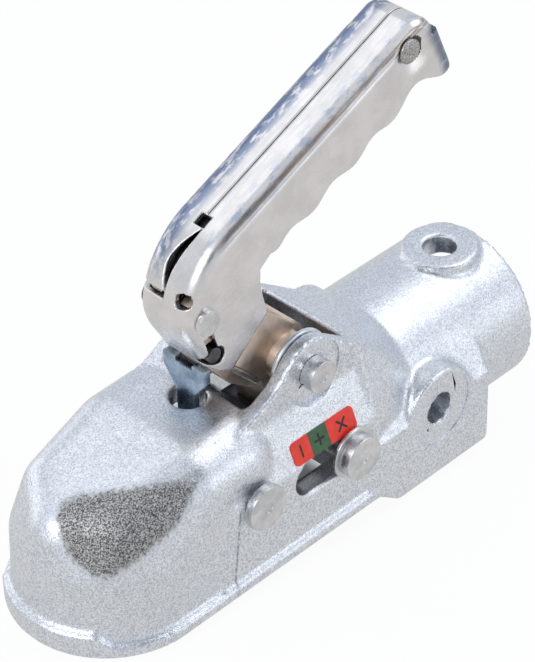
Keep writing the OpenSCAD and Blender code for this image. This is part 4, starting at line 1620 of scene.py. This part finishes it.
@dataclass
class Studio:
    """Pale floor, soft lamps, dark cards for the metal to show, and the camera."""

    azimuth: float = 44.4395
    elevation: float = 37.8067
    roll: float = -1.5653
    focal_px: float = 2728.885
    reach_mm: float = 953.599
    target: Place = (78.97, 0.0, 44.66)
    long_side_px: float = 662.0
    sensor_mm: float = 36.0
    clip: Pair = (0.05, 20.0)
    nose: Place = (-0.026, 0, -0.0222)
    heel: Place = (0.112, 0, -0.0332)
    floor_half: float = 4.0
    floor_glow: float = 0.93
    glossy_dimmer: float = -0.28
    under_x: float = 0.048
    sky_soft: Colour = (0.82, 0.87, 0.95)
    sky_strength: float = 0.82

    def camera(self) -> None:
        """Puts the camera where the photograph was taken from."""
        a, e, r = (math.radians(v) for v in (self.azimuth, self.elevation, self.roll))
        back = Vector((-math.sin(a) * math.cos(e), -math.cos(a) * math.cos(e), math.sin(e)))
        right = Vector((math.cos(a), -math.sin(a), 0))
        up = back.cross(right)
        across = math.cos(r) * right + math.sin(r) * up
        above = -math.sin(r) * right + math.cos(r) * up
        data = bpy.data.cameras.new("camera")
        data.sensor_width, data.lens = self.sensor_mm, self.focal_px * self.sensor_mm / self.long_side_px
        data.clip_start, data.clip_end = self.clip
        eye = new_object("camera", data)
        place = (Vector(self.target) + back * self.reach_mm) * MM
        eye.matrix_world = Matrix.Translation(place) @ Matrix((across, above, back)).transposed().to_4x4()
        bpy.context.scene.camera = eye

    def lamp(self, plan: Lamp) -> None:
        """Sets up one soft box.

        Args:
            plan: its place, size and power.
        """
        data = bpy.data.lights.new(plan.name, "AREA")
        data.shape, data.size, data.size_y = "RECTANGLE", *plan.size
        data.energy, data.color = plan.power, plan.colour
        aimed(plan.name, data, plan.place, MIDDLE)

    def card(self, plan: Card) -> None:
        """Sets up one card for the metal to show.

        Args:
            plan: its place, size and grey.
        """
        w, h = plan.size[0] / 2, plan.size[1] / 2
        mesh = quad_mesh(plan.name, ((-w, -h, 0), (w, -h, 0), (w, h, 0), (-w, h, 0)))
        card = aimed(plan.name, mesh, plan.place, plan.aim)
        paint = Paint(plan.name)
        tone = paint.mix(paint.noise(80), (plan.grey * 0.8,) * 3, (plan.grey,) * 3)
        mesh.materials.append(paint.end(paint.node("ShaderNodeEmission", {"Color": tone})))
        card.visible_camera = card.visible_diffuse = card.visible_shadow = False

    def floor(self) -> None:
        """A pale floor through the points that the part rests on, with no glow under the part."""
        nose, heel = Vector(self.nose), Vector(self.heel)
        along, across = (heel - nose).normalized(), Vector(CROSSWISE)
        middle, f = (nose + heel) / 2, self.floor_half
        mesh = quad_mesh("floor", [middle + along * a + across * b
                                   for a, b in ((-f, -f), (f, -f), (f, f), (-f, f))])
        paint = Paint("pale_floor")
        tone = paint.mix(paint.noise(60), (0.86, 0.86, 0.86), (0.9, 0.9, 0.9))
        ray = paint.outputs("ShaderNodeLightPath")
        x, y, _ = paint.outputs("ShaderNodeSeparateXYZ", {0: paint.coords}).values()
        clear = paint.math("MAXIMUM", paint.past(abs(x - self.under_x), 50, 64), paint.past(abs(y), 16, 28))
        seen = paint.math("MAXIMUM", ray["Is Camera Ray"], ray["Is Glossy Ray"]) * self.floor_glow * clear
        diffuse = paint.node("ShaderNodeBsdfDiffuse", {"Color": tone})
        glow = paint.node("ShaderNodeEmission", {
            "Strength": ray["Is Glossy Ray"] * self.glossy_dimmer + 1.0})
        mesh.materials.append(paint.end(paint.node("ShaderNodeMixShader", {0: seen, 1: diffuse, 2: glow})))
        new_object("floor", mesh)

    def sky(self) -> None:
        """A plain pale surround, white where the camera sees it."""
        world = bpy.data.worlds.new("surround")
        bpy.context.scene.world = world
        world.use_nodes = True
        wiring = Wiring(world.node_tree)
        ray = wiring.outputs("ShaderNodeLightPath")
        seen = wiring.math("MAXIMUM", ray["Is Camera Ray"], ray["Is Transmission Ray"])
        soft = wiring.node("ShaderNodeBackground", {"Color": self.sky_soft,
                                                    "Strength": self.sky_strength})
        white = wiring.node("ShaderNodeBackground", {"Color": (1, 1, 1), "Strength": 1.0})
        blend = wiring.node("ShaderNodeMixShader", {0: seen, 1: soft, 2: white})
        wiring.add("ShaderNodeOutputWorld", {"Surface": blend})

    def build(self) -> None:
        """Sets up everything that isn't part of the object."""
        bpy.context.scene.view_settings.view_transform = "Standard"
        self.camera()
        self.floor()
        self.sky()
        for lamp in LAMPS:
            self.lamp(lamp)
        for card in CARDS:
            self.card(card)


def main() -> None:
    """Builds the coupling head and its studio."""
    logging.basicConfig(level=logging.INFO, format="%(message)s")
    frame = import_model()
    Studio().build()
    pieces = [Casting().build(frame["nodes"]["housing"]), FoldedHandle().build()]
    pieces += SmallParts(frame["nodes"]).build()
    pieces += LeverFlanks().build()
    pieces += Springs().build()
    pieces += ZoneLabel().build()
    for piece in pieces:
        log.info("%s: %d faces", piece.name, len(piece.data.polygons))


if __name__ == "__main__":
    main()
